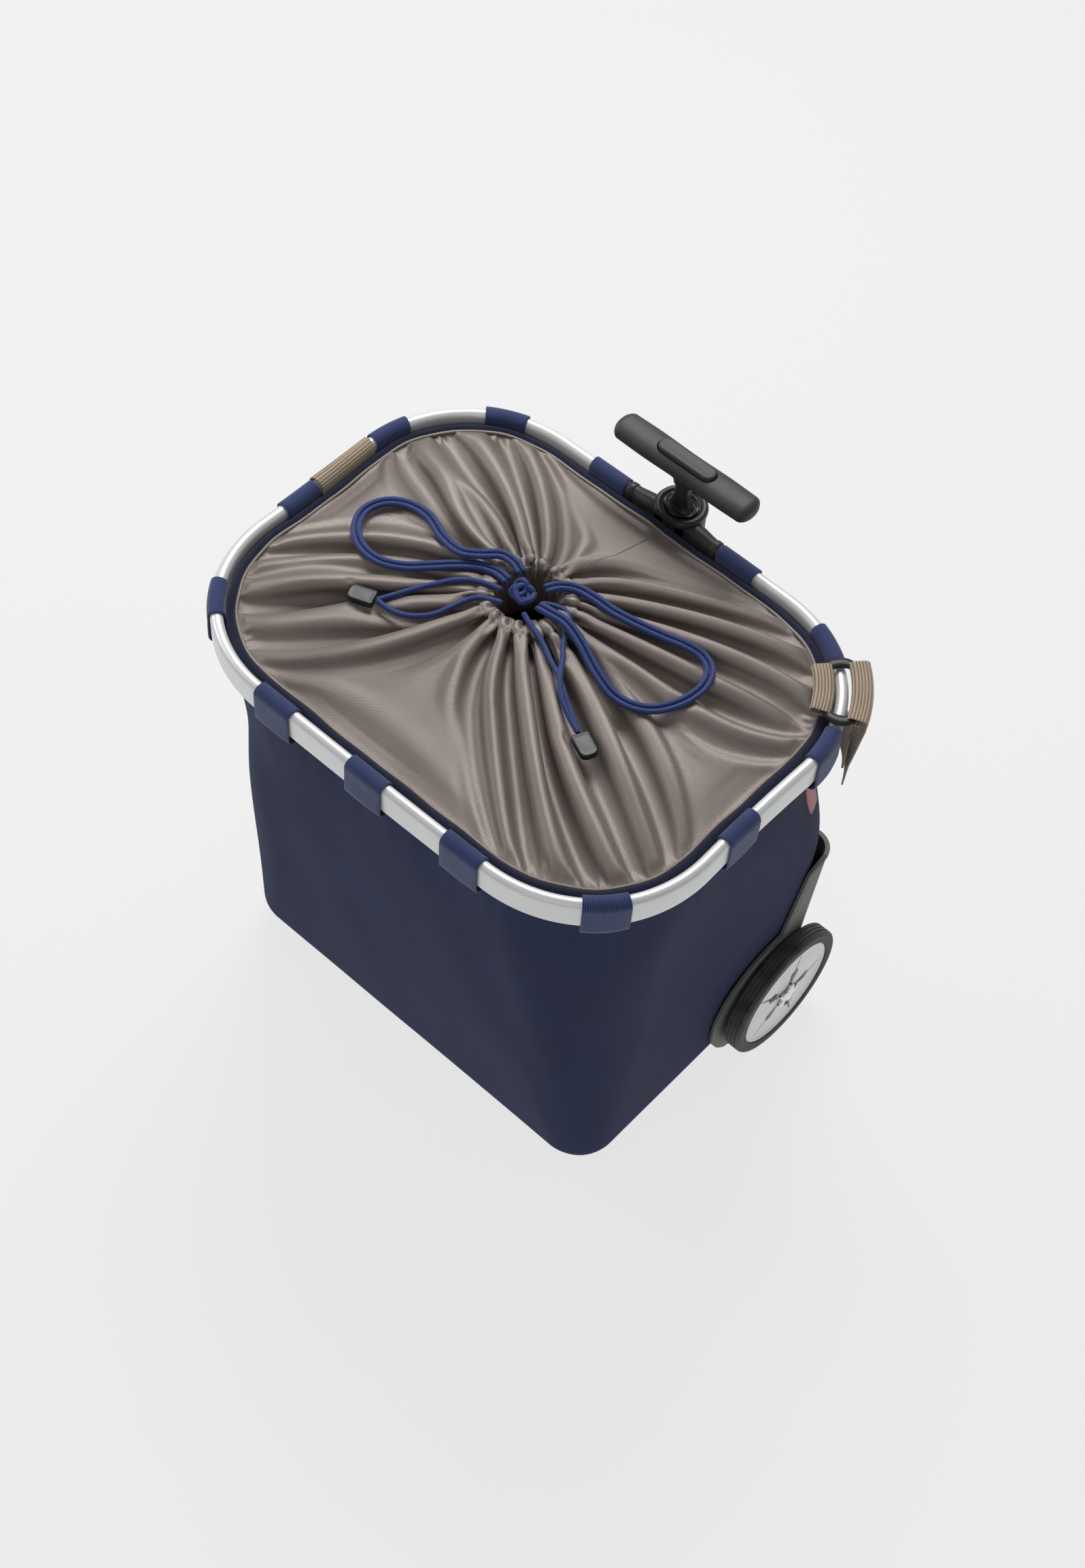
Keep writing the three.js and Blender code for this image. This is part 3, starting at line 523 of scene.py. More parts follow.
FRONT_TAIL_LEFT = [
    (-9, 4, 440), (-1, 1, 439), (9, -2, 438), (20, -6, 437), (31, -12, 437), (42, -17, 437),
    (53, -24, 437), (63, -30, 435.4), (73, -36, 434.6), (84, -42.5, 433.5)]
FRONT_TAIL_RIGHT = [
    (-7, 20, 437), (1, 25, 437), (10, 27, 437), (18, 22, 437), (23, 13, 437), (28, 4, 437),
    (36, -5, 438), (45, -18, 440), (57, -30, 438), (70, -37, 435.4), (84, -42.5, 433.5)]
CLIP_LEFT = (np.array([-102.2, -58.3, 432.6]) * MM, 0.37)
CLIP_FRONT = (np.array([93.5, -46.7, 433]) * MM, -0.42)
STRAND_APART = 2.15 * MM  # each strand of a pair, from the pair's middle line
KNOT_TURNS = [  # offset and half size in millimetres, heading and tilt in radians
    ((0, 0, 0.4), (7.6, 4.4, 2.2), 0.55, 0.25),
    ((1.5, -1.5, 1.2), (6.6, 4.0, 2.4), 2.3, -0.2),
    ((-3.2, 2, 0.2), (4.6, 5.6, 2.6), 0.2, 0.55),
    ((3.6, 1.2, -0.2), (4.6, 6.4, 2.0), 1.0, -0.5),
    ((-1, -0.5, 2.4), (4.2, 2.6, 1.2), 1.4, 0.15)]


def distance_along(path):
    """How far along a path each of its points is."""
    return np.concatenate([[0], np.cumsum(np.linalg.norm(np.diff(path, axis=0), axis=1))])


def between(start, end, low, high, at):
    """The point that lies between start and end as at lies between low and high."""
    return start + (end - start) * (at - low) / (high - low)


def smooth_route(route, spacing=0.5 * MM):
    """A centripetal spline through the route's points, in even steps. The routes above are in
    millimetres, and any other route is in metres."""
    p = np.array(route, float) * MM if abs(route[0][2]) > 1 else np.array(route, float)
    ends = np.concatenate([[2 * p[0] - p[1]], p, [2 * p[-1] - p[-2]]])
    found = []
    for a, b, c, d in zip(ends, ends[1:], ends[2:], ends[3:]):
        knots = np.cumsum([0] + [np.linalg.norm(y - x) ** 0.5 for x, y in ((a, b), (b, c), (c, d))])
        for k in np.linspace(knots[1], knots[2], 24, endpoint=False):
            ab = between(a, b, knots[0], knots[1], k)
            bc = between(b, c, knots[1], knots[2], k)
            cd = between(c, d, knots[2], knots[3], k)
            abc = between(ab, bc, knots[0], knots[2], k)
            bcd = between(bc, cd, knots[1], knots[3], k)
            found.append(between(abc, bcd, knots[1], knots[2], k))
    found = np.array(found + [p[-1]])
    length = distance_along(found)
    even = np.linspace(0, length[-1], int(length[-1] / spacing) + 2)
    return np.stack([np.interp(even, length, found[:, k]) for k in range(3)], -1)


def frames_along(path):
    """The direction along a path, and two directions across it, the first level."""
    along = np.gradient(path, axis=0)
    along /= np.linalg.norm(along, axis=1)[:, None]
    across = np.cross([0, 0, 1.0], along)
    across /= np.linalg.norm(across, axis=1)[:, None] + 1e-12
    return along, across, np.cross(along, across)


def beside(route, offset):
    """A route moved sideways, level."""
    path = smooth_route(route, 4 * MM)
    return path + frames_along(path)[1] * offset


BRAID_STRANDS = 5
BRAID_PITCH = 5.2 * MM
BRAID_RELIEF = 0.32 * MM
BRAID_SIDES = 30


def bulge(place):
    """The rounded top of a strand: 0 at its edges and 1 at its middle."""
    return np.abs(np.sin(np.pi * (place % 1))) ** 0.55


def braid_tube(path):
    """Points of a braided round cord along a path, and the height of its strands."""
    length = distance_along(path)
    turn = np.arange(BRAID_SIDES) / BRAID_SIDES
    one = BRAID_STRANDS * turn[None, :] + length[:, None] / BRAID_PITCH * 2
    other = BRAID_STRANDS * turn[None, :] - length[:, None] / BRAID_PITCH * 2
    over = (np.floor(one) + np.floor(other)) % 2 == 0
    one, other = bulge(one), bulge(other)
    height = np.where(over, one * (0.6 + 0.4 * other), other * (0.6 + 0.4 * one))
    end = np.ones(len(path))
    for from_end in (length, length[-1] - length):
        end *= np.sqrt(np.clip(1 - (1 - np.clip(from_end / CORD_R, 0, 1)) ** 2, 0.02, 1))
    radius = (CORD_R - BRAID_RELIEF + BRAID_RELIEF * height) * end[:, None]
    _, across, above = frames_along(path)
    angle = 2 * np.pi * turn
    points = path[:, None] + radius[..., None] * (
        across[:, None] * np.cos(angle)[None, :, None] + above[:, None] * np.sin(angle)[None, :, None])
    return points, height


def braided_piece(name, paths):
    """One mesh of braided cord along one or more paths."""
    points, heights, faces, start = [], [], [], 0
    for path in paths:
        tube, height = braid_tube(path)
        steps, sides, _ = tube.shape
        faces += (grid_faces(steps, sides, False, True) + start).tolist()
        ring = start + np.arange(sides)
        faces += [ring[::-1].tolist(), (ring + (steps - 1) * sides).tolist()]
        points.append(tube.reshape(-1, 3))
        heights.append(height.ravel())
        start += steps * sides
    piece = make_piece(name, np.concatenate(points), faces)
    # the strands' height, which braided_cord paints into the colour as shade between the strands and
    # highlight on their tops
    strand = piece.data.attributes.new("strand", "FLOAT", "POINT")
    strand.data.foreach_set("value", np.concatenate(heights).astype(np.float32))
    return piece


def cord_strand(name, route, node):
    path = smooth_route(route)
    piece = dress(braided_piece(name, [path]), "cord", replaces=[node])


def knot_turn(offset, half_size, heading, tilt):
    """One turn of cord round the knot: an ellipse, tipped and turned."""
    a = 2 * np.pi * np.linspace(0, 1, 60)
    ring = np.stack([np.cos(a), np.sin(a), np.sin(a + 0.6)], -1) * (np.array(half_size) * MM)
    turned = Matrix.Rotation(heading, 3, "Z") @ Matrix.Rotation(tilt, 3, "X")
    centre = KNOT + np.array(offset) * MM
    return smooth_route((ring @ np.array(turned).T + centre).tolist(), 0.6 * MM)


def make_knot():
    """Turns of the doubled cord round each other, pulled tight."""
    turns = [knot_turn(*turn) for turn in KNOT_TURNS]
    return dress(braided_piece("bow_knot", turns), "cord", replaces=["drawstring_knot"])


def make_clip(name, placed, node):
    """A flat moulded cord end: straight where the cord goes in, round at its tip, with a raised rim."""
    (centre, heading), half_long, half_wide, half_tall = placed, 10 * MM, 6.4 * MM, 2.8 * MM
    toward = -1 if name.endswith("left") else 1
    round_tip, corner = 5.2 * MM, 1.2 * MM
    a = np.linspace(-math.pi / 2, math.pi / 2, 19)
    tip = np.stack([half_long - round_tip + round_tip * np.abs(np.cos(a)) ** 0.75,
                    half_wide * np.sign(np.sin(a)) * np.abs(np.sin(a)) ** 0.75], -1)
    back = np.concatenate([arc(corner - half_long, half_wide - corner, corner, math.pi / 2, math.pi, 5),
                           arc(corner - half_long, corner - half_wide, corner, math.pi, 1.5 * math.pi, 5)])
    plan = toward * np.concatenate([tip, back])
    layers = [(-1, 0.86), (-0.92, 0.95), (-0.7, 1), (0.55, 1), (0.72, 0.98), (0.86, 0.93), (0.9, 0.86),
              (0.82, 0.78), (0.84, 0.6), (0.9, 0.3), (0.92, 0.04)]
    points = np.stack([at_height(plan * scale, half_tall * up) for up, scale in layers])
    c, s = math.cos(heading), math.sin(heading)
    points = points @ np.array([[c, s, 0], [-s, c, 0], [0, 0, 1]]) + centre
    return dress(swept(name, points), "gloss_black", replaces=[node])


def make_drawstring():
    knot = make_knot()
    tails = {"left": (CLIP_LEFT, LEFT_TAIL_UPPER, LEFT_TAIL_LOWER),
             "front": (CLIP_FRONT, FRONT_TAIL_LEFT, FRONT_TAIL_RIGHT)}
    clips = {place: make_clip(f"cord_end_{place}", tail[0], f"cord_clip_{place}")
             for place, tail in tails.items()}
    for side, loop in (("left", LEFT_LOOP), ("right", RIGHT_LOOP)):
        for number, offset in ((1, STRAND_APART), (2, -STRAND_APART)):
            cord_strand(f"bow_{side}_strand_{number}", beside(loop, offset),
                        f"drawstring_{side}_loop")
    for place, (_, *routes) in tails.items():
        for number, route in enumerate(routes, 1):
            cord_strand(f"tail_{place}_strand_{number}", route,
                        f"drawstring_{place}_tail")


make_drawstring()

# ---- cover: twill cloth gathered by the cord, relaxed to the lengths it was cut to ----
COVER_EDGE = (-12.2 * MM, 5 * MM)  # outward and up from the tube's centreline
HOLE_R = 24 * MM
MOUTH_CUT = 460 * MM  # flat length of the gathered edge
RIM_CUT = 1.35  # flat length of the edge at the rim
CLOTH_ROWS, CLOTH_STEPS = 44, 384
FOLDS_AT_HOLE, FOLDS_AT_RIM = 30, 8
THROAT = [  # share of the hole's radius, millimetres down, and depth of the pleats
    (0.95, 2.5, 0.4), (0.91, 7, 0.9), (0.87, 14, 1.4), (0.83, 24, 1.8), (0.8, 36, 2.0)]
CEILING_CELL = 2 * MM
CEILING_CORNER = np.array([-220, -180]) * MM


def cover_net():
    """The cover with no folds: rows from the hole out to the rim."""
    s = np.arange(CLOTH_STEPS) * PERIMETER / CLOTH_STEPS
    edge = on_rim(s, *COVER_EDGE)
    toward = edge[:, :2] - HOLE
    angle = np.unwrap(np.arctan2(toward[:, 1], toward[:, 0]))
    way = np.sign(angle[-1] - angle[0])
    even = angle[0] + way * 2 * math.pi * np.arange(CLOTH_STEPS) / CLOTH_STEPS
    angle = 0.25 * even + 0.75 * angle
    mouth = HOLE + HOLE_R * np.stack([np.cos(angle), np.sin(angle)], -1)
    t = np.linspace(0, 1, CLOTH_ROWS)
    net = np.empty((CLOTH_ROWS, CLOTH_STEPS, 3))
    net[..., :2] = mouth + (edge[:, :2] - mouth) * t[:, None, None]
    up = np.interp(t, [0, 0.1, 0.35, 0.65, 0.88, 1], np.array([24, 24, 20, 15, 10, 5]) * MM)
    net[..., 2] = RING_Z + up[:, None]
    return net, angle, t


def cord_ceiling():
    """A grid of how high the cloth may rise: up to the underside of the cords and clips."""
    rows, columns = np.mgrid[0:181, 0:221]
    grid = np.stack([columns, rows], -1) * CEILING_CELL + CEILING_CORNER
    ceiling = np.full(rows.shape, 1.0)
    pairs = [(LEFT_LOOP, 2 * CORD_R), (RIGHT_LOOP, 2 * CORD_R)]
    singles = [LEFT_TAIL_UPPER, LEFT_TAIL_LOWER, FRONT_TAIL_LEFT, FRONT_TAIL_RIGHT]
    for route, half in pairs + [(route, CORD_R) for route in singles]:
        for x, y, z in smooth_route(route, 2 * MM):
            beyond = np.hypot(grid[..., 0] - x, grid[..., 1] - y) - half
            near = beyond < 5 * MM
            under = z - CORD_R - 0.4 * MM + 0.9 * np.maximum(beyond[near], 0)
            ceiling[near] = np.minimum(ceiling[near], under)
    for (x, y, z), heading in (CLIP_LEFT, CLIP_FRONT):
        c, s = math.cos(heading), math.sin(heading)
        u = (grid[..., 0] - x) * c + (grid[..., 1] - y) * s
        v = (grid[..., 1] - y) * c - (grid[..., 0] - x) * s
        beyond = np.maximum(np.maximum(abs(u) - 9.5 * MM, abs(v) - 6.5 * MM), 0)
        near = beyond < 5 * MM
        ceiling[near] = np.minimum(ceiling[near], z - 3.4 * MM + 0.9 * beyond[near])
    return ceiling


def ceiling_at(ceiling, x, y):
    """The ceiling's height at any point, read between its grid's cells."""
    i = np.clip((y - CEILING_CORNER[1]) / CEILING_CELL, 0, 179.99)
    j = np.clip((x - CEILING_CORNER[0]) / CEILING_CELL, 0, 219.99)
    i0, j0 = i.astype(int), j.astype(int)
    fi, fj = i - i0, j - j0
    below = ceiling[i0, j0] * (1 - fj) + ceiling[i0, j0 + 1] * fj
    above = ceiling[i0 + 1, j0] * (1 - fj) + ceiling[i0 + 1, j0 + 1] * fj
    return below * (1 - fi) + above * fi


def fold_pattern(rng, angle, t):
    """Waves round the hole: many at the hole, few at the rim. Each row's size is 1."""
    pattern = np.zeros(angle.shape)
    middle = FOLDS_AT_HOLE + (FOLDS_AT_RIM - FOLDS_AT_HOLE) * t**0.55
    for n in range(5, 64):
        share = np.exp(-(((n - middle) / (8 * (0.35 + middle / 40))) ** 2))
        cosine, sine = rng.normal(), rng.normal()
        p, q = rng.uniform(0, 6.28), rng.uniform(0, 6.28)
        wave = cosine * np.cos(n * angle + p) + sine * np.sin(n * angle + q)
        pattern += share[:, None] * wave
    return pattern / np.sqrt((pattern**2).mean(1, keepdims=True))


def pull(cloth, free, a, b, rest, stiffness):
    """Moves the ends of each thread towards its cut length."""
    start, end = cloth[a], cloth[b]
    way = end - start
    length = np.sqrt((way * way).sum(-1)) + 1e-12
    free_a, free_b = free[a], free[b]
    share = stiffness * (length - rest) / (length * np.maximum(free_a + free_b, 1e-9))
    cloth[a] = start + (share * free_a)[..., None] * way
    cloth[b] = end - (share * free_b)[..., None] * way


def relax_cloth(cloth, free, around, radial, steps, hold):
    """Position-based cloth: threads round and across keep their length, and bends resist."""
    rows, columns = np.arange(len(cloth)), np.arange(cloth.shape[1])
    count = len(columns)
    threads = []
    for reach, stiffness in ((1, 1.0), (2, 0.08), (4, 0.14)):
        for half in (0, 1):
            some = columns[(columns // reach) % 2 == half]
            threads.append((np.ix_(rows, some), np.ix_(rows, (some + reach) % count),
                            reach * around[:, some], stiffness))
            some = rows[:len(rows) - reach]
            some = some[(some // reach) % 2 == half]
            rest = sum(radial[some + k] for k in range(reach))
            threads.append((np.ix_(some, columns), np.ix_(some + reach, columns), rest, stiffness))
    slanting = np.hypot((around[:-1] + around[1:]) / 2, radial)
    beyond = (columns + 1) % count
    for half in (0, 1):
        some = rows[:-1][rows[:-1] % 2 == half]
        threads.append((np.ix_(some, columns), np.ix_(some + 1, beyond), slanting[some], 0.45))
        threads.append((np.ix_(some, beyond), np.ix_(some + 1, columns), slanting[some], 0.45))
    speed = np.zeros_like(cloth)
    for _ in range(steps):
        before = cloth.copy()
        cloth = cloth + 0.93 * speed
        for a, b, rest, stiffness in threads:
            pull(cloth, free, a, b, rest, stiffness)
        hold(cloth)
        speed = cloth - before
        size = np.sqrt((speed * speed).sum(-1, keepdims=True))
        speed *= np.minimum(1, 0.6 * MM / (size + 1e-12))
    return cloth


def gathered_cloth():
    """The cover's cloth at rest, and its flat area."""
    rng = np.random.default_rng(8)
    net, angle, t = cover_net()
    free = np.ones(net.shape[:2])
    free[-1] = 0
    turned_net = np.roll(net, -1, axis=1)
    steps = np.linalg.norm(turned_net - net, axis=2)
    cut = MOUTH_CUT + (steps[-1].sum() - MOUTH_CUT) * t**0.5
    around = np.repeat((cut / CLOTH_STEPS)[:, None], CLOTH_STEPS, 1)
    reach = np.linalg.norm(np.diff(net, axis=0), axis=2).sum(0) * 1.012
    radial = np.repeat((reach / (CLOTH_ROWS - 1))[None], CLOTH_ROWS - 1, 0)

    twist = 0.25 * (t[:, None] - 0.2) * rng.normal()
    folds = fold_pattern(rng, angle[None] + twist, t)
    folds = np.where(folds > 0, folds, 0.8 * folds)
    rise = np.diff(folds, axis=1, append=folds[:, :1])
    size = np.zeros(CLOTH_ROWS)
    low, high = np.zeros(CLOTH_ROWS), np.full(CLOTH_ROWS, 40 * MM)
    for _ in range(40):
        size = (low + high) / 2
        long_enough = np.hypot(steps, size[:, None] * rise).sum(1) > cut
        high, low = np.where(long_enough, size, high), np.where(long_enough, low, size)
    size = np.convolve(np.pad(size, 3, "edge"), np.ones(7) / 7, "valid")
    size *= np.interp(t, [0, 0.85, 1], [1, 1, 0])

    cloth = net.copy()
    cloth[..., 2] += size[:, None] * folds
    dome = np.interp(t, [0, 0.35, 0.65, 0.88, 1], np.array([25, 22, 16.5, 10, 2]) * MM)
    middle = (RING_Z + dome - 1.5 * MM * np.sin(math.pi * t))[:, None]
    most = (1.6 * size + 1 * MM)[:, None]
    tangent = turned_net - np.roll(net, 1, axis=1)
    tangent[..., 2] = 0
    tangent /= np.linalg.norm(tangent, axis=2, keepdims=True)
    fold_count = FOLDS_AT_HOLE + (FOLDS_AT_RIM - FOLDS_AT_HOLE) * t**0.55
    slide = (0.22 * steps.sum(1) / fold_count)[:, None]
    ceiling = cord_ceiling()

    def hold(cloth):
        """Keeps the cloth on its dome, under the cords, round the hole and sewn at the rim."""
        top = np.maximum(ceiling_at(ceiling, cloth[..., 0], cloth[..., 1]), RING_Z + 4 * MM)
        top = np.minimum(middle + 1.5 * most, top)
        cloth[..., 2] = np.clip(cloth[..., 2], np.minimum(middle - 1.3 * most, top), top)
        cloth[..., 2] += 0.0015 * (middle - cloth[..., 2]) * free
        shift = ((cloth - net) * tangent).sum(-1)
        cloth += ((np.clip(shift, -slide, slide) - shift) * free)[..., None] * tangent
        away = cloth[:2, :, :2] - HOLE
        r = np.linalg.norm(away, axis=2) + 1e-12
        kept = np.clip(r, HOLE_R - 2.5 * MM, HOLE_R + 3 * MM)
        cloth[:2, :, :2] = HOLE + away * (kept / r)[..., None]
        cloth[:2, :, 2] = np.clip(cloth[:2, :, 2], RING_Z + 20 * MM, RING_Z + 27 * MM)
        cloth[-1] = net[-1]

    cloth = relax_cloth(cloth, free, around, radial, 300, hold)
    flat_area = float((around[:-1] + around[1:]).ravel() @ radial.ravel() / 2)
    return cloth, flat_area


def cubic(values, at, axis, wrap):
    """Values read between grid points along an axis, smoothly."""
    count = values.shape[axis]
    first = np.floor(at).astype(int) if wrap else np.minimum(np.floor(at).astype(int), count - 2)
    shape = [1] * values.ndim
    shape[axis] = len(at)
    f = (at - first).reshape(shape)
    mode = "wrap" if wrap else "clip"
    a, b, c, d = (np.take(values, first + k, axis=axis, mode=mode) for k in (-1, 0, 1, 2))
    square, cube = 2 * a - 5 * b + 4 * c - d, 3 * b - a - 3 * c + d
    return 0.5 * (2 * b + (c - a) * f + square * f**2 + cube * f**3)


def make_cover():
    cloth, flat_area = gathered_cloth()
    columns = 900
    fine = cubic(cloth, np.linspace(0, CLOTH_ROWS - 1, 108), 0, False)
    fine = cubic(fine, np.arange(columns) * CLOTH_STEPS / columns, 1, True)

    # crinkles in the channel that the cord runs through, and its line of stitches
    along = np.linalg.norm(np.diff(fine, axis=0), axis=2).mean(1)
    from_hole = np.concatenate([[0], np.cumsum(along)])[:, None]
    angle = np.linspace(0, 2 * math.pi, columns, endpoint=False)[None]
    normal = np.cross(np.gradient(fine, axis=0), np.roll(fine, -1, 1) - np.roll(fine, 1, 1))
    normal /= np.linalg.norm(normal, axis=2, keepdims=True) + 1e-12
    normal *= np.sign(normal[..., 2:])
    rng = np.random.default_rng(5)
    crinkle = np.zeros_like(fine[..., 0])
    for n in rng.integers(40, 84, 14):
        turn = rng.uniform(0, 2 * math.pi)
        drift = rng.normal() * 90
        crinkle += np.cos(n * angle + turn + drift * from_hole)
    crinkle /= 3.2
    window = smooth_step(0, 3 * MM, from_hole) * (1 - smooth_step(11 * MM, 30 * MM, from_hole))
    channel = 2.0 * MM * np.sin(np.pi * np.clip(from_hole / (13 * MM), 0, 1)) ** 0.7
    stitches = -1.1 * MM * np.exp(-(((from_hole - 13 * MM) / (0.9 * MM)) ** 2))
    fine = fine + normal * (channel + stitches + 1.5 * MM * crinkle * window)[..., None]

    # the gathered edge turns down into the hole, in pleats
    mouth = fine[0]
    away = mouth[:, :2] - HOLE
    throat = []
    pleat = 0.5 * crinkle[3] + 0.25 * np.cos(61 * angle[0])
    for scale, down, depth in THROAT:
        ring = mouth.copy()
        ring[:, :2] = HOLE + away * (scale + depth * MM * pleat / HOLE_R)[:, None]
        ring[:, 2] = RING_Z + (23 - down) * MM + 0.4 * (mouth[:, 2] - RING_Z - 23 * MM)
        throat.append(ring)
    fine = np.concatenate([throat[::-1], fine])

    around = np.linspace(0, RIM_CUT, columns)
    out = np.concatenate([[0], np.cumsum(np.linalg.norm(np.diff(fine, axis=0), axis=2).mean(1))])
    uv = np.stack(np.broadcast_arrays(around[None, :], out[:, None]), -1)
    faces = grid_faces(len(fine), columns, False, True)
    cover = make_piece("gathered_cover", fine.reshape(-1, 3), faces, uv.reshape(-1, 2))
    dress(cover, "cover", replaces=["cover"])


make_cover()

# ---- bag: a lofted shell, rounded at the bottom, that hangs a little slack ----
BOTTOM_ROUND = 22 * MM
LOOP_WIDTH = 32 * MM
LOOPS = {"back_inner": 58, "back_corner": 149, "end_back": 241.5, "end_front": 334.7,
         "front_corner": 448, "front": 550}
loop_places = [way * s * MM for s in LOOPS.values() for way in (1, -1)] + [PERIMETER / 2]


def bag_slack(s, z):
    """How far the cloth hangs outward of its cut shape."""
    s, z = np.broadcast_arrays(s, z)
    turn = 2 * math.pi * s / PERIMETER
    h = (z - BAG_BOTTOM) / (BAG_TOP - BAG_BOTTOM)
    belly = np.sin(math.pi * np.clip(h, 0, 1))
    waves = (
        0.9 * np.sin(3 * turn + 2.1 + 2.6 * h) + 0.7 * np.sin(7 * turn + 0.4 - 3.8 * h)
        + 0.5 * np.sin(12 * turn + 1.7 + 6 * h) + 0.35 * np.sin(19 * turn + 9 * h)
        + 0.6 * np.sin(5 * turn - 9 * h + 0.8))
    held = smooth_step(-20 * MM, 60 * MM, on_rim(s, 0, 0)[..., 1])  # the chassis keeps the back in shape
    out = (waves - 1.5) * MM * belly * (1 - 0.7 * held)
    distance = np.min([np.abs((s - place + PERIMETER / 2) % PERIMETER - PERIMETER / 2)
                       for place in loop_places], axis=0)
    near_top = smooth_step(0.76, 0.99, h)
    out -= 3.2 * MM * smooth_step(12 * MM, 46 * MM, distance) * near_top * (1 - smooth_step(0.985, 1, h))
    out -= 1.2 * MM * np.exp(-(((distance - 17 * MM) / (5 * MM)) ** 2)) * near_top
    dent = np.exp(-(((s - 1.02 * PERIMETER / 2 + 0.16) / 0.075) ** 2) - ((h - 0.74) / 0.13) ** 2)
    out -= 4.5 * MM * dent
    return out


def bag_row(z, inset, s, thickness=0.0):
    """One level of the bag's side, with its slack, drawn in by inset and by the cloth's thickness."""
    return on_bag(s, bag_slack(s, z) - inset - thickness, np.full_like(s, z))


def make_bag():
    """The shell, which is 1.5 mm thick and open at the top, and the stiff board on its bottom."""
    s = np.arange(480) * PERIMETER / 480
    rounding = [(BAG_BOTTOM + BOTTOM_ROUND * (1 - math.cos(a)), BOTTOM_ROUND * (1 - math.sin(a)))
                for a in np.linspace(0, math.pi / 2, 12)]
    levels = rounding + [(z, 0.0) for z in np.linspace(BAG_BOTTOM + BOTTOM_ROUND + 4 * MM, BAG_TOP, 120)]
    outside = np.array([bag_row(z, inset, s) for z, inset in levels])
    inside = np.array([bag_row(max(z, BAG_BOTTOM + 1.5 * MM), inset, s, 1.5 * MM) for z, inset in levels])
    sections = np.concatenate([outside, inside[::-1]])
    height = np.concatenate([[z for z, _ in levels], [z for z, _ in levels][::-1]])
    uv = np.stack(np.broadcast_arrays(s[None, :], height[:, None]), -1)
    walls = ["bag_back_panel", "bag_left_panel", "bag_front_panel", "bag_right_panel"]
    dress(swept("bag_shell", sections, uv), "bag", replaces=walls + ["bag_bottom_panel"])

    board_levels = ((4, 16), (4.6, 15), (7, 15), (7.6, 16))  # millimetres up and in
    board = np.array([bag_row(BAG_BOTTOM + up * MM, inset * MM, s[::4]) for up, inset in board_levels])
    dress(swept("bottom_board", board), "board", replaces=["base_board"])


make_bag()

# ---- rim: the ring, the fuzzy hem band with its piping, and the navy loops ----
def even_path(points, count, closed):
    """Evenly spaced points along a flat outline, and the outward normal at each."""
    p = np.asarray(points, float)
    if closed:
        p = np.concatenate([p, p[:1]])
    length = distance_along(p)
    at = np.linspace(0, length[-1], count, endpoint=not closed)
    path = np.stack([np.interp(at, length, p[:, k]) for k in (0, 1)], -1)
    if closed:
        along = np.roll(path, -1, 0) - np.roll(path, 1, 0)
    else:
        along = np.gradient(path, axis=0)
    along /= np.linalg.norm(along, axis=1)[:, None]
    return path, np.stack([along[:, 1], -along[:, 0]], -1), at


def tape_round_rim(name, outline, s_middle, width, thick, count=56, closed=True, lean=None,
                   squeeze=None):
    """Flat tape that follows an outline of (outward, up) round the rim's tube."""
    path, normal, length = even_path(outline, count, closed)
    edge = rounded_box(width / 2, thick / 2, thick * 0.45, 3)
    section = []
    for start, end in zip(edge, np.roll(edge, -1, 0)):
        # a long side gets more points, so that the tape can follow the rim's curve
        steps = 8 if abs(start[0] - end[0]) > width / 3 else 1
        section.append(np.linspace(start, end, steps, endpoint=False))
    a, b = np.concatenate(section).T
    narrowing = np.ones(count) if squeeze is None else squeeze(length / length[-1])
    a = a[None] * narrowing[:, None]
    outward = path[:, :1] + normal[:, :1] * b
    up = path[:, 1:] + normal[:, 1:] * b
    if lean is not None:
        more_out, more_up = lean(a, path[:, :1], path[:, 1:])
        outward, up = outward + more_out, up + more_up
    points = on_rim(s_middle + a, outward, up)
    uv = np.stack(np.broadcast_arrays(a, length[:, None]), -1)
    return swept(name, points, uv, closed_path=closed)


def ripple(s):
    """How far the sewn edge wanders outward and up."""
    return np.stack([0.28 * np.sin(s / 0.0071) + 0.3 * np.sin(s / 0.019 + 1),
                     0.35 * np.sin(s / 0.011) + 0.3 * np.sin(s / 0.031 + 2)], -1) * MM


def make_rim():
    """The tube, the fuzzy band inside it, the piping that ends the cover, and the loops."""
    s = np.linspace(RING_END, PERIMETER - RING_END, 420)
    tube = obround(TUBE_HALF_TALL, TUBE_HALF_WIDE, 12)
    dress(along_rim("ring_tube", tube, s), "aluminium", replaces=["frame_ring"])

    around = np.arange(720) * PERIMETER / 720
    outer = np.array([(-6.4, -15), (-5.8, -10), (-5.3, -4), (-5.5, 1), (-6.2, 4.2), (-7.8, 6.3), (-10, 6.9),
                      (-12, 6.2), (-13.4, 4.6)]) * MM
    inner = np.array([(-13.4, 3.2), (-11.4, 3.4), (-9.6, 2.2), (-8.4, -2), (-8.2, -10), (-8.2, -15)]) * MM
    band = np.concatenate([outer, inner])
    hem = along_rim("fuzzy_hem_band", band, around, ripple, closed_path=True)
    dress(hem, "fuzz", replaces=["rim_band"])
    piping = arc(-13.6 * MM, 5.2 * MM, 1.25 * MM, 0, 2 * math.pi, 10)[:-1]
    dress(along_rim("cover_piping", piping, around, ripple, closed_path=True), "cover")

    rng = np.random.default_rng(3)
    for side, way in (("left", 1), ("right", -1)):
        for place, distance in LOOPS.items():
            make_loop(f"{side}_{place}", way * distance * MM, rng)
    make_loop("front_middle", PERIMETER / 2, rng)


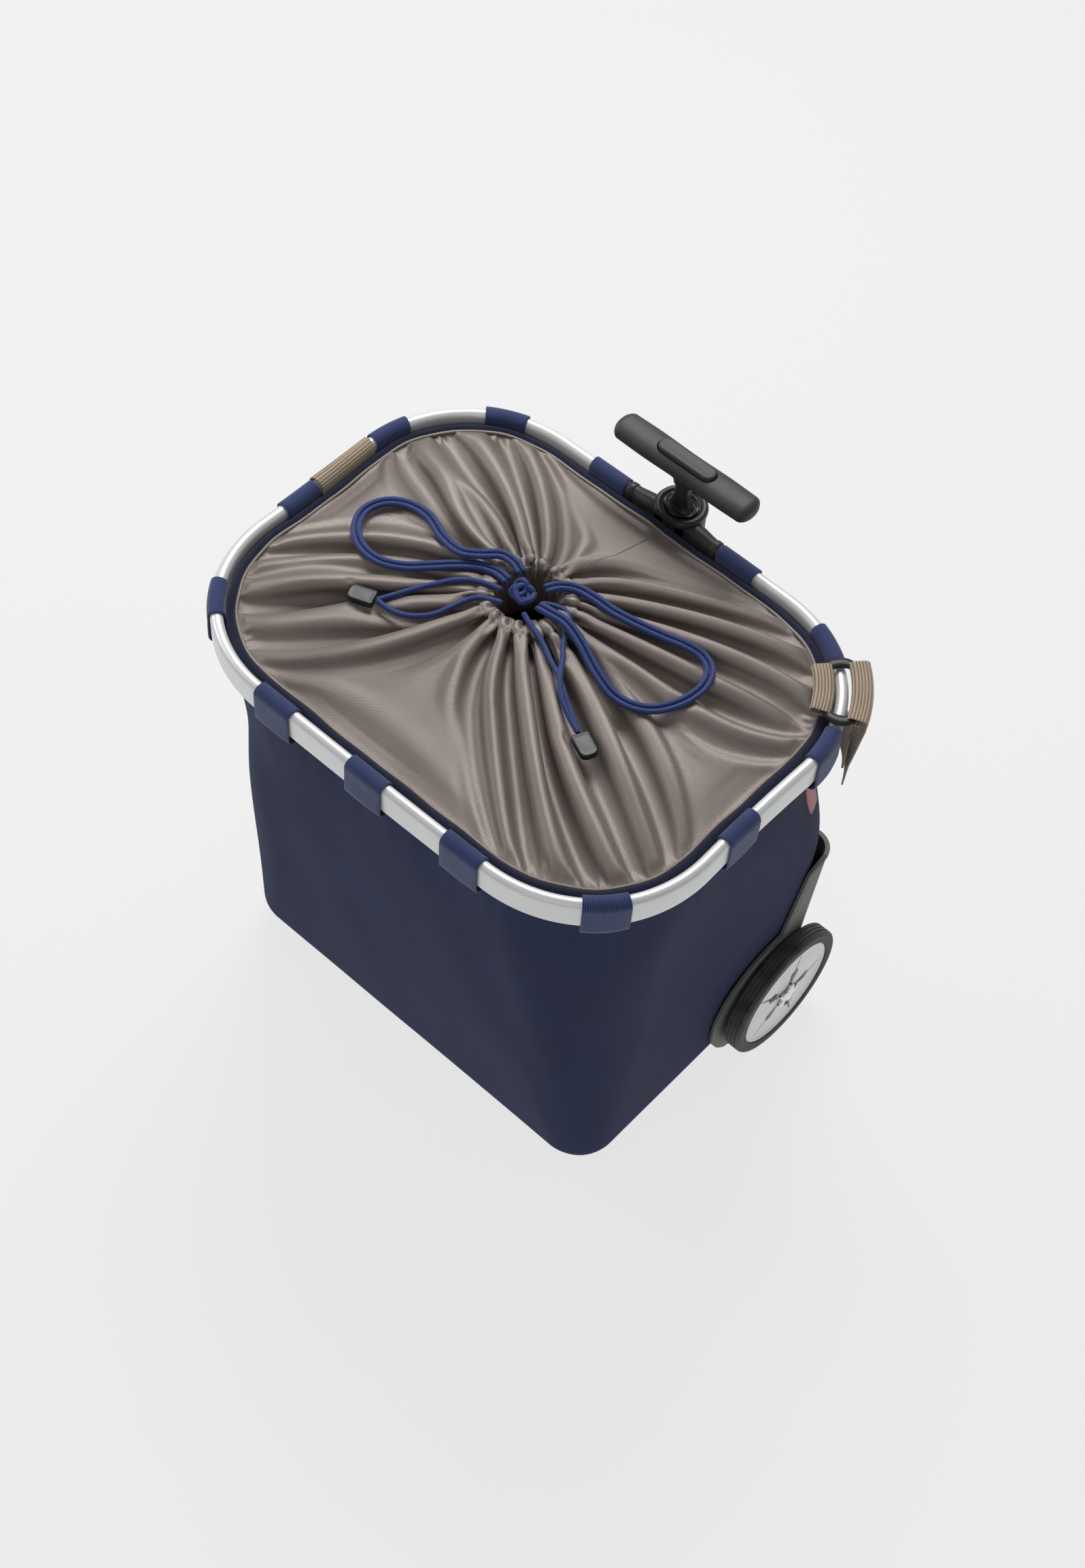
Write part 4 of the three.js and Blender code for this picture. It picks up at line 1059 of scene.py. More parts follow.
def make_loop(place, s, rng):
    """Navy webbing over the tube and slack below it; each loop hangs a little differently."""
    slack, tip, swing = rng.uniform(-0.6, 1.4), rng.uniform(-0.5, 0.9), rng.uniform(-1, 1)
    half_tall, half_wide = (16.7 + slack / 2) * MM, 5.75 * MM
    outline = obround(half_tall, half_wide, 10)
    outline[:, 1] -= (2.4 + slack / 2) * MM

    def lean(a, outward, up):
        low = smooth_step(4 * MM, -18 * MM, up)
        belly = 0.6 * MM * np.cos(math.pi * a / LOOP_WIDTH) * low * np.sign(outward)
        return tip * MM * low + belly, swing * low * a * 0.05 + 0 * outward

    piece = tape_round_rim(f"webbing_loop_{place}", outline, s, LOOP_WIDTH, 1.25 * MM, lean=lean)
    dress(piece, "loop", replaces=[f"loop_{place}"])


make_rim()

# ---- carrying strap, its wrap on the left end, its buckle on the right, and the corner tab ----
WRAP_S = 289 * MM
BUCKLE_S = -195 * MM
BUCKLE_UP = 15.6 * MM
BAR_OUT = 13 * MM


def make_end_wrap():
    """Webbing sewn round the tube at the left end, with a flap that hangs down."""
    flap = np.array([(5.95, -62), (5.9, -40), (5.95, -18), (6.2, 0)]) * MM
    over = arc(0, 8.6 * MM, 6.35 * MM, 0, math.pi, 12)
    under = arc(0, -12.6 * MM, 6.2 * MM, math.pi, 1.9 * math.pi, 10)
    tuck = np.array([(5.5, -8), (5.3, -2)]) * MM
    outline = np.concatenate([flap, over, under, tuck])

    def cone(a, outward, up):
        return 0.018 * a * np.sign(outward) * (up > -14 * MM), 0 * a

    wrap = tape_round_rim("strap_wrap_left", outline, WRAP_S, 56 * MM, 1.15 * MM, 110, False, cone)
    dress(wrap, "strap", replaces=["strap_left_wrap"])


def make_carrying_strap():
    """The strap, which hangs in a long bow behind the bag from one end to the other."""
    s = np.linspace(BUCKLE_S - 12 * MM, WRAP_S + 12 * MM, 260)
    tape = rounded_box(0.9 * MM, 19 * MM, 0.7 * MM, 3)

    share = (s - BUCKLE_S) / (WRAP_S - BUCKLE_S)
    round_pole = 20 * np.exp(-((s / (75 * MM)) ** 2))
    at_buckle = 2.4 * np.exp(-(((s - BUCKLE_S) / (40 * MM)) ** 2))
    out = (7.9 + round_pole + at_buckle)[:, None] * MM
    up = (-41 - 70 * np.sin(math.pi * share))[:, None] * MM
    points = on_rim(s[:, None], tape[None, :, 0] + out, tape[None, :, 1] + up)
    uv = np.stack(np.broadcast_arrays(tape[None, :, 1], s[:, None]), -1)
    strap = swept("carrying_strap_tape", points, uv)
    dress(strap, "strap", replaces=["carrying_strap"])


def make_buckle_wraps():
    """Webbing round the buckle's two bars. The outer one runs on down to the strap."""
    hoop = np.concatenate([arc(3.9 * MM, 0, 2.75 * MM, -math.pi / 2, math.pi / 2, 8),
                           arc(-3.9 * MM, 0, 2.75 * MM, math.pi / 2, 1.5 * math.pi, 8)])
    inner = hoop + (-BAR_OUT, BUCKLE_UP)
    piece = tape_round_rim("buckle_wrap_inner", inner, BUCKLE_S, 47 * MM, 1.2 * MM, 60)
    dress(piece, "strap", replaces=["buckle_inner_wrap"])
    foot = np.array([(12.6, -64), (13.6, -40), (17.4, -6), (19.3, 9)]) * MM
    top = arc(16.3 * MM, 15.9 * MM, 3.3 * MM, -0.3, math.pi / 2, 8)
    back = np.concatenate([[(9.6 * MM, 19.2 * MM)],
                           arc(9.4 * MM, 15.9 * MM, 3.3 * MM, math.pi / 2, 1.5 * math.pi, 8),
                           [(15.2 * MM, 12.4 * MM)]])

    def narrowed(share):
        return 0.8 + 0.2 * smooth_step(0.1, 0.5, share)

    outline = np.concatenate([foot, top, back])
    piece = tape_round_rim("buckle_wrap_outer", outline, BUCKLE_S, 47 * MM, 1.3 * MM, 120, False,
                           squeeze=narrowed)
    dress(piece, "strap", replaces=["buckle_outer_wrap"])


def rounded_power(x, power):
    """A sine or cosine made squarer or rounder, with its sign kept."""
    return np.sign(x) * np.abs(x) ** power


def make_buckle():
    """The slide buckle: two bars joined by crescents."""
    turn = np.linspace(0, 2 * math.pi, 96, endpoint=False)
    along = 25.2 * MM * rounded_power(np.cos(turn), 0.75)
    out = 13.2 * MM * rounded_power(np.sin(turn), 0.8)
    half = (2.0 + 2.4 * np.abs(np.cos(turn)) ** 2.5) * MM
    section = arc(0, 0, 1, 0, 2 * math.pi, 14)[:-1]
    middle = np.stack([along, out], -1)
    heading = np.roll(middle, -1, 0) - np.roll(middle, 1, 0)
    heading /= np.linalg.norm(heading, axis=1)[:, None]
    outward = np.stack([heading[:, 1], -heading[:, 0]], -1)
    side = middle[:, None] + outward[:, None] * (half[:, None] * section[None, :, 0])[..., None]
    up = BUCKLE_UP + 1.9 * MM * section[None, :, 1] + 0 * side[..., 0]
    buckle = swept("slide_buckle", on_rim(BUCKLE_S + side[..., 0], side[..., 1], up), closed_path=True)
    dress(buckle, "gloss_black", replaces=["strap_buckle"])


def make_tab():
    """The tape tab sewn flat on the back right corner: a front, a back and thin walls between."""
    columns, rows = 12, 30
    left, right, bottom, top = np.array([-229, -207, 300, 350]) * MM
    across, height = np.meshgrid(np.linspace(left, right, columns), np.linspace(bottom, top, rows))
    from_edge = np.minimum(np.minimum(across - left, right - across),
                           np.minimum(height - bottom, top - height))
    lift = 1.3 * MM + 0.5 * MM * smooth_step(-0.5 * MM, 1.2 * MM, from_edge)
    stitches = np.exp(-(((from_edge - 2.6 * MM) / (0.6 * MM)) ** 2))
    slack = bag_slack(across, height)
    front = on_bag(across, np.maximum(slack, -0.4 * MM) + lift - 0.35 * MM * stitches, height)
    back = on_bag(across, slack - 0.3 * MM, height)
    uv = np.stack([across, height], -1).reshape(-1, 2)
    index = np.arange(rows * columns).reshape(rows, columns)
    rim = np.concatenate([index[0], index[1:, -1], index[-1, -2::-1], index[-2:0:-1, 0]])
    beyond = np.roll(rim, -1)
    walls = np.stack([rim, beyond, beyond + index.size, rim + index.size], -1)
    sheet = grid_faces(rows, columns)
    faces = np.concatenate([sheet[:, ::-1], sheet + index.size, walls])
    tab = make_piece("corner_tab", np.concatenate([front, back]).reshape(-1, 3), faces,
                     np.concatenate([uv, uv]))
    dress(tab, "tab", replaces=["side_tab"])


make_end_wrap()
make_carrying_strap()
make_buckle_wraps()
make_buckle()
make_tab()

# ---- hard pieces ----
TURN_SIDES = 64


def turned_points(profile, centre):
    """Points of a profile of (radius, height) turned about a vertical axis: heights by sides."""
    a = 2 * math.pi * np.arange(TURN_SIDES) / TURN_SIDES
    profile = np.asarray(profile, float)
    points = np.empty((len(profile), TURN_SIDES, 3))
    points[..., :2] = profile[:, None, :1] * np.stack([np.cos(a), np.sin(a)], -1) + centre
    points[..., 2] = profile[:, None, 1]
    return points


def turned(name, profile, centre=(0, POLE_Y)):
    """A solid of revolution with closed ends."""
    return swept(name, turned_points(profile, centre))


def turned_sleeve(name, r_in, r_out, low, high):
    """A pipe with softened ends, round the pole's axis."""
    e = 0.25 * MM
    profile = [(r_in, low + e), (r_in + e, low), (r_out - e, low), (r_out, low + e), (r_out, high - e),
               (r_out - e, high), (r_in + e, high), (r_in, high - e)]
    points = turned_points(profile, (0, POLE_Y))
    return swept(name, np.swapaxes(points, 0, 1), closed_path=True)


def join_pieces(name, pieces):
    """Several meshes as one object."""
    points, faces, start = [], [], 0
    for piece in pieces:
        mesh = piece.data
        points += [tuple(vertex.co) for vertex in mesh.vertices]
        faces += [[start + i for i in face.vertices] for face in mesh.polygons]
        start += len(mesh.vertices)
        bpy.data.objects.remove(piece)
        bpy.data.meshes.remove(mesh)
    return make_piece(name, np.array(points) - ORIGIN, faces)


def cut_from(piece, cutter):
    """Cuts one mesh out of another and leaves the edges sharp."""
    modifier = piece.modifiers.new("cut", "BOOLEAN")
    modifier.operation, modifier.solver, modifier.object = "DIFFERENCE", "EXACT", cutter
    bpy.context.view_layer.update()
    mesh = bpy.data.meshes.new_from_object(piece.evaluated_get(bpy.context.evaluated_depsgraph_get()))
    piece.modifiers.clear()
    piece.data = mesh
    mesh.set_sharp_from_angle(angle=math.radians(40))
    bpy.data.objects.remove(cutter)
    return piece


def keep_sharp(piece, degrees=40):
    """Edges that turn by more than this stay crisp."""
    piece.data.set_sharp_from_angle(angle=math.radians(degrees))
    return piece


def slab(name, outline, heights, insets, move):
    """A plate: an outline drawn in at its rims. move turns (u, v, height) into a point."""
    outline = np.asarray(outline, float)
    middle = (outline.min(0) + outline.max(0)) / 2
    reach = (outline.max(0) - outline.min(0)) / 2
    layers = []
    for height, inset in zip(heights, insets):
        plan = middle + (outline - middle) * (1 - inset / reach)
        layers.append(move(plan[:, 0], plan[:, 1], np.full(len(plan), height)))
    return keep_sharp(swept(name, np.array(layers)))


# ---- collar, pole and grip ----
def make_collar():
    """An arm round each end of the ring, the barrel that guides the pole, and the bezel on top."""
    pieces = []
    for way in (1, -1):
        s = np.linspace(6 * MM, 44 * MM, 60)
        reach = smooth_step(40 * MM, 14 * MM, s)
        ridge = 0.9 * MM * (smooth_step(35.5 * MM, 36.5 * MM, s) - smooth_step(39.5 * MM, 41 * MM, s))
        grow = 1.1 * MM + 3 * MM * reach + ridge
        grow *= np.where(s > 42.5 * MM, 0.6, 1)
        outline = obround(1 + 8.5 * MM, 1, 12)
        core = np.sign(outline[:, 1]) * 8.5 * MM
        unit = outline - np.stack([0 * core, core], -1)
        r = (TUBE_HALF_WIDE + grow)[:, None]
        points = on_rim(way * s[:, None], unit[None, :, 0] * r, core[None] + unit[None, :, 1] * r)
        pieces.append(swept("arm", points if way > 0 else points[:, ::-1]))
    top = RING_Z + 15 * MM
    barrel = [(0.1 * MM, top - 31 * MM), (17.5 * MM, top - 31 * MM), (18.6 * MM, top - 29.5 * MM),
              (19 * MM, top - 26 * MM), (19 * MM, top - 2 * MM), (18.6 * MM, top - 0.7 * MM),
              (17.6 * MM, top), (11.6 * MM, top), (11.4 * MM, top - 20 * MM), (0.1 * MM, top - 20 * MM)]
    pieces.append(turned("barrel", barrel))
    collar = join_pieces("collar", pieces)
    front = POLE_Y - 12.6 * MM
    for vertex in collar.data.vertices:
        vertex.co.y = max(vertex.co.y, front + ORIGIN[1])
    dress(keep_sharp(collar), "black", replaces=["collar_body"])

    z = top + 0.3 * MM
    bezel = [(12.1, 0), (19.3, 0), (19.9, 0.8), (20, 2), (19.7, 3.6), (19, 4.7), (17.9, 5.3), (16.6, 5.4),
             (15.4, 4.9), (14.4, 3.9), (13.2, 3.3), (12.1, 3.2)]
    turn = 2 * math.pi * np.arange(96)[:, None] / 96
    r, height = np.array(bezel).T * MM
    oval = np.where(r < 15 * MM, np.cos(2 * turn), 0)  # the bore is wider across than deep
    x = r * (1 + 0.06 * oval) * np.cos(turn)
    y = POLE_Y + np.maximum(r * (1 - 0.05 * oval) * np.sin(turn), -15.9 * MM)
    rings = np.stack([x, y, np.broadcast_to(z + height, x.shape)], -1)
    dress(swept("collar_bezel_ring", rings, closed_path=True), "black",
          replaces=["collar_bezel"])


def superellipse(half_x, half_y, power, sides=64):
    a = 2 * math.pi * np.arange(sides) / sides
    return np.stack([half_x * rounded_power(np.cos(a), 2 / power),
                     half_y * rounded_power(np.sin(a), 2 / power)], -1)


def stacked(name, levels, power):
    """Rounded sections stacked up on the pole's axis: each level is z in metres, half x and half y
    in millimetres."""
    return swept(name, np.array([
        at_height(superellipse(half_x * MM, half_y * MM, power) + (0, POLE_Y), z)
        for z, half_x, half_y in levels]))


def make_pole():
    """The fixed outer tube, the middle stage with the neck's foot on it, and the neck."""
    outer = turned_sleeve("outer_tube", 9.9 * MM, 11 * MM, 22 * MM, RING_Z + 15.2 * MM)
    dress(outer, "aluminium", replaces=["pole_outer_tube"])
    middle = turned_sleeve("middle_tube", 8.5 * MM, 9.6 * MM, 40 * MM, RING_Z + 15.8 * MM)
    dress(middle, "aluminium", "pole_middle", ["pole_middle_tube"])
    z = RING_Z + 16.1 * MM
    # an oval ring with a flared foot in it, which the neck slides through
    foot = [(z, 11.4, 10.6), (z + 2.6 * MM, 11.6, 10.8), (z + 3.9 * MM, 13.2, 9.4), (z + 4.5 * MM, 13, 9.2),
            (z + 4.7 * MM, 12.2, 8.4), (z + 4.1 * MM, 11.4, 7.7), (z + 3.9 * MM, 10.4, 7.1),
            (z + 5 * MM, 9.2, 6.3), (z + 7.5 * MM, 7.9, 5.6), (z + 11 * MM, 6.9, 4.9),
            (z + 14 * MM, 6.4, 4.4), (z + 14.2 * MM, 6.0, 4.0)]
    dress(keep_sharp(stacked("neck_foot", foot, 2.5), 50), "gloss_black", "pole_middle",
          ["pole_middle_bush"])
    neck = [(60 * MM, 5.2, 3.2), (60.6 * MM, 5.7, 3.7), (GRIP_Z - 22 * MM, 5.75, 3.75),
            (GRIP_Z - 7 * MM, 5.75, 3.75)]
    dress(keep_sharp(stacked("neck", neck, 4), 50), "black", "pole_inner",
          ["pole_inner_tube"])


def stadium_stack(name, half_long, half_wide, levels):
    """An outline with half-circle ends, long across, stacked up: each level is (z, inset)."""
    straight = half_long - half_wide
    layers = []
    for z, inset in levels:
        r = half_wide - inset
        ends = [arc(straight, POLE_Y, r, -math.pi / 2, math.pi / 2, 20),
                arc(-straight, POLE_Y, r, math.pi / 2, 1.5 * math.pi, 20)]
        layers.append(at_height(np.concatenate(ends), z))
    return swept(name, np.array(layers))


def make_grip():
    """A bar with rounded ends and a flat top, a boss under it, and a pocket for the release pad."""
    half_long, half_deep, end_round = 62 * MM, 12.5 * MM, 7 * MM
    x = half_long * np.sin(np.linspace(-math.pi / 2, math.pi / 2, 121))
    x = np.clip(x, 0.05 * MM - half_long, half_long - 0.05 * MM)
    left = half_long - np.abs(x)
    end = np.sqrt(np.clip(1 - (1 - np.clip(left / end_round, 0, 1)) ** 2, 0.0015, 1))
    waist = 1 - 0.05 * np.cos(math.pi * x / half_long) ** 2
    plan = superellipse(1, 1, 2.35, 72)
    deep = half_deep * (0.25 + 0.75 * end) * waist * end**0.3
    high = np.where(plan[:, 1] > 0, 7.3, 8.0) * MM
    points = np.empty((len(x), len(plan), 3))
    points[..., 0] = x[:, None]
    points[..., 1] = POLE_Y + plan[None, :, 0] * deep[:, None]
    points[..., 2] = GRIP_Z + plan[None, :, 1] * high * (end**0.85)[:, None]
    bar = swept("grip_bar", points[:, ::-1])
    pocket = stadium_stack("pocket", 25.9 * MM, 7.3 * MM, [(GRIP_Z - 0.5 * MM, 0), (GRIP_Z + 12 * MM, 0)])
    dress(cut_from(bar, pocket), "grip", "pole_inner", ["grip_body"])
    boss = [(GRIP_Z - 17 * MM, 7.2, 5.2), (GRIP_Z - 16.4 * MM, 7.9, 5.9), (GRIP_Z - 12 * MM, 8.6, 6.6),
            (GRIP_Z - 8.5 * MM, 10.4, 8.2), (GRIP_Z - 5.5 * MM, 14, 10), (GRIP_Z - 1 * MM, 17, 11)]
    dress(stacked("grip_shell", boss, 2.6), "grip", "pole_inner")
    top = GRIP_Z + 10 * MM
    pad = [(GRIP_Z + 3.2 * MM, 0.3 * MM), (GRIP_Z + 3.6 * MM, 0), (top - 1.6 * MM, 0),
           (top - 0.8 * MM, 0.25 * MM), (top - 0.25 * MM, 0.8 * MM), (top, 1.7 * MM),
           (top - 0.1 * MM, 3.2 * MM), (top - 0.35 * MM, 5.4 * MM)]
    pad = stadium_stack("release_pad", 25 * MM, 6.5 * MM, pad)
    dress(pad, "grip", "release", ["release_button"])


make_collar()
make_pole()
make_grip()

# ---- wheels, cheeks, chassis and feet ----
DISC_R = 49.3 * MM
TYRE_IN = 191.4 * MM
TYRE_WIDTH = 15.4 * MM
CAP_LOBES = 5
GUARD_R = 68.5 * MM  # the cheek's cut-out round the wheel
CHEEK_TOP = 212 * MM
CHEEK_BACK_S = 84 * MM
CHASSIS_CORNER = 14 * MM


def about_axle(name, profile, way, sides, closed):
    """A profile of (radius, distance outward) turned about a wheel's axle."""
    profile = np.asarray(profile, float)
    a = 2 * math.pi * np.arange(sides) / sides
    points = np.empty((sides, len(profile), 3))
    points[..., 0] = way * profile[None, :, 1]
    points[..., 1] = WHEEL_Y + np.cos(a)[:, None] * profile[None, :, 0]
    points[..., 2] = WHEEL_R + np.sin(a)[:, None] * profile[None, :, 0]
    if way < 0:
        points = points[::-1]
    return swept(name, points if closed else np.swapaxes(points, 0, 1), closed_path=closed)


def make_tyre(side, way, low, high):
    """A tyre with ribs in its inner wall and three grooves round its tread."""
    profile = [(DISC_R + 0.2 * MM, low + 1 * MM), (DISC_R + 1.2 * MM, low), (DISC_R + 3.2 * MM, low)]
    for k in range(3):
        r = DISC_R + (4 + 1.5 * k) * MM
        profile += [(r, low + 0.1 * MM), (r + 0.35 * MM, low + 0.7 * MM), (r + 0.8 * MM, low + 0.7 * MM),
                    (r + 1.1 * MM, low + 0.15 * MM)]
    shoulder = arc(WHEEL_R - 2.6 * MM, low + 2.6 * MM, 2.6 * MM, -math.pi / 2 + 0.3, 0, 6)
    profile += shoulder.tolist()
    for at in (4.4, 7.7, 11):
        x = low + at * MM
        profile += [(WHEEL_R, x - 0.8 * MM), (WHEEL_R - 0.9 * MM, x - 0.45 * MM),
                    (WHEEL_R - 0.9 * MM, x + 0.45 * MM), (WHEEL_R, x + 0.8 * MM)]
    profile += arc(WHEEL_R - 3.4 * MM, high - 3.4 * MM, 3.4 * MM, 0, math.pi / 2, 8).tolist()
    profile += [(DISC_R + 3.6 * MM, high), (DISC_R + 2.9 * MM, high - 0.5 * MM), (DISC_R + 2.2 * MM, high),
                (DISC_R + 1.2 * MM, high), (DISC_R + 0.2 * MM, high - 1 * MM)]
    tyre = keep_sharp(about_axle("tyre_" + side, profile, way, 160, True), 50)
    dress(tyre, "tyre", "wheel_" + side, ["wheel_tyre_" + side])


def make_disc(side, way, low, high):
    """A dished disc with five slots, each wide near the hub and a thin slit further out."""
    r = np.concatenate([np.linspace(0.4, 11, 8), np.linspace(11.5, 44, 90), np.linspace(44.5, 49.2, 12)]) * MM
    a = 2 * math.pi * np.arange(560) / 560
    spread = np.interp(r, np.array([12, 24, 28, 42]) * MM, [0.2, 0.2, 0.03, 0.012])
    from_slot = np.abs((a * CAP_LOBES / (2 * math.pi) + 0.5) % 1 - 0.5) * 2 * math.pi / CAP_LOBES
    inside = (spread[:, None] - from_slot[None]) * r[:, None]
    inside = np.minimum(inside, np.minimum(r - 12 * MM, 42 * MM - r)[:, None])
    slot = smooth_step(-0.25 * MM, 0.25 * MM, inside)
    face = high - 1.1 * MM - 0.9 * MM * smooth_step(20 * MM, 45 * MM, r)
    face += 0.9 * MM * smooth_step(45.5 * MM, 47 * MM, r) - 0.6 * MM * smooth_step(48.4 * MM, 49.3 * MM, r)
    front = np.empty((len(r), len(a), 3))
    front[..., 0] = way * (face[:, None] - 7 * MM * slot)
    front[..., 1] = WHEEL_Y + r[:, None] * np.cos(a)
    front[..., 2] = WHEEL_R + r[:, None] * np.sin(a)
    back = front[[-1, 0]].copy()
    back[..., 0] = way * (low + 1.4 * MM)
    sections = np.concatenate([front, back])
    if way < 0:
        sections = sections[:, ::-1]
        slot = slot[:, ::-1]
    disc = swept("disc_" + side, sections)
    # the slots' depth, which wheel_disc uses to paint shade inside them
    depth = disc.data.attributes.new("painted_slot_shade", "FLOAT", "POINT")
    depths = np.concatenate([slot.ravel(), np.zeros(2 * len(a))])
    depth.data.foreach_set("value", depths.astype(np.float32))
    dress(keep_sharp(disc), "disc", "wheel_" + side, ["wheel_rim_" + side])


def make_cap(side, way, high):
    """A chrome cap with five lobes."""
    a = 2 * math.pi * np.arange(120) / 120
    lobes = 9.6 * MM + 2.6 * MM * np.cos(CAP_LOBES * a)
    layers = []
    for scale, out in ((1, -0.8), (1, 1.1), (0.97, 1.6), (0.9, 2.0), (0.75, 2.25), (0.5, 2.4),
                       (0.25, 2.45), (0.02, 2.45)):
        layers.append(np.stack([np.full(120, way * (high + out * MM)), WHEEL_Y + scale * lobes * np.cos(a),
                                WHEEL_R + scale * lobes * np.sin(a)], -1))
    layers = np.array(layers)
    cap = swept("cap_" + side, layers if way > 0 else layers[:, ::-1])
    dress(cap, "chrome", "wheel_" + side, ["wheel_cap_" + side])


def make_wheel(side, way):
    low, high = TYRE_IN, TYRE_IN + TYRE_WIDTH
    make_tyre(side, way, low, high)
    make_disc(side, way, low, high)
    make_cap(side, way, high)


def cheek_front(z):
    """How far along the rim the cheek's front edge is at each height."""
    rise = np.minimum(np.abs(z - WHEEL_R), GUARD_R)
    column = (99.4 + 0.19 * (z / MM - 116) + 14 * np.maximum(0, (z / MM - 200) / 12) ** 2) * MM
    guard = np.where(z - WHEEL_R < GUARD_R, WHEEL_Y - np.sqrt(GUARD_R**2 - rise**2), column)
    wanted = np.minimum(guard, column)
    low, high = np.zeros(len(z)), np.full(len(z), PERIMETER / 2)
    for _ in range(40):
        s = (low + high) / 2
        behind = on_bag(s, 0 * s, z, CHASSIS_CORNER)[:, 1] > wanted
        low, high = np.where(behind, s, low), np.where(behind, high, s)
    return low


def make_cheek(side, way):
    """A moulded plate round the bag's lower back corner, with a raised lip at its front and top."""
    z = np.concatenate([[9 * MM], np.linspace(9.6 * MM, CHEEK_TOP - 0.4 * MM, 120), [CHEEK_TOP]])
    front = cheek_front(z)
    u = np.linspace(0, 1, 70)
    sections = []
    for height, edge in zip(z, front):
        length = edge - CHEEK_BACK_S
        s = CHEEK_BACK_S + length * u
        from_edge = edge - s
        lip = MM * smooth_step(4.6 * MM, 3.6 * MM, from_edge)
        lip = np.maximum(lip, MM * smooth_step(CHEEK_TOP - 4 * MM, CHEEK_TOP - 3 * MM, height))
        out = 3.3 * MM + lip
        out *= np.where(from_edge < 0.1 * MM, 0.75, 1)
        outside = on_bag(way * s, out, height, CHASSIS_CORNER)
        within = on_bag(way * s[::-1], 0.8 * MM, height, CHASSIS_CORNER)
        sections.append(np.concatenate([outside, within]))
    sections = np.array(sections)
    piece = swept(f"cheek_{side}", sections if way < 0 else sections[:, ::-1])
    dress(keep_sharp(piece, 35), "chassis", replaces=["chassis_cheek_" + side])


def upright(u, v, depth):
    """A plate that stands behind the bag: u is across, v is up and depth is towards the back."""
    return np.stack([u, depth, v], -1)[::-1]


def level(u, v, height):
    """A plate that lies flat."""
    return np.stack([u, v, height], -1)


def make_chassis():
    """A back plate with ribs, a base plate, the socket that the pole stands in, and its bridge."""
    plates = [  # name, outline, heights and insets in millimetres, and how it stands
        ("back", rounded_box(98 * MM, 71 * MM, 16 * MM, 8) + (0, 79 * MM),
         (143.2, 143.5, 146.4, 147.2), (0.6, 0, 0, 0.8), upright),
        ("base", rounded_box(150 * MM, 38.6 * MM, 14 * MM, 6) + (0, 108.6 * MM),
         (4, 4.4, 7.4, 8), (0.6, 0, 0, 0.6), level)]
    post = rounded_box(1.6 * MM, 60 * MM, 1.2 * MM, 3)
    rail = rounded_box(82 * MM, 1.6 * MM, 1.2 * MM, 3)
    ribs = [post + (x * MM, 78 * MM) for x in (-72, -40, 40, 72)] + [rail + (0, z * MM) for z in (24, 132)]
    plates += [("rib", rib, (146, 149.5, 150.2), (0, 0.2, 0.7), upright) for rib in ribs]
    bridge = rounded_box(16 * MM, 7.5 * MM, 2 * MM, 4) + (0, 151.5 * MM)
    plates.append(("bridge", bridge, (4, 61.4, 62), (0, 0, 0.6), level))
    pieces = [slab(name, outline, np.array(heights) * MM, np.array(insets) * MM, move)
              for name, outline, heights, insets, move in plates]
    socket = [(0.1, 4), (17.5, 4), (18, 5), (16.4, 12), (16, 20), (16, 60), (15.4, 61.6), (14.6, 62),
              (11.5, 62), (11.3, 50), (11.3, 22), (0.1, 22)]
    pieces.append(keep_sharp(turned("socket", np.array(socket) * MM)))
    chassis = join_pieces("chassis_moulding", pieces)
    # the pole stands in the socket, so nothing above the socket's floor reaches into its bore
    bore, floor = 11.3 * MM, 22.5 * MM
    for vertex in chassis.data.vertices:
        x, y = vertex.co.x - ORIGIN[0], vertex.co.y - ORIGIN[1] - POLE_Y
        r = math.hypot(x, y)
        if r < bore - 0.1 * MM and vertex.co.z > floor:
            vertex.co.x = ORIGIN[0] + x * bore / max(r, 1e-6)
            vertex.co.y = ORIGIN[1] + POLE_Y + y * bore / max(r, 1e-6)
    dress(keep_sharp(chassis), "chassis", replaces=["chassis_body"])


def make_foot(side, way):
    profile = [(0.2, 0), (9.5, 0), (10.6, 0.5), (11.6, 2), (12, 3.4), (12, 11), (11.7, 11.7), (0.2, 11.7)]
    foot = turned("foot_" + side, np.array(profile) * MM, (way * 135 * MM, -80 * MM))
    dress(keep_sharp(foot), "black", replaces=["front_foot_" + side])


for side, way in (("left", -1), ("right", 1)):
    make_wheel(side, way)
    make_cheek(side, -way)
    make_foot(side, way)
make_chassis()

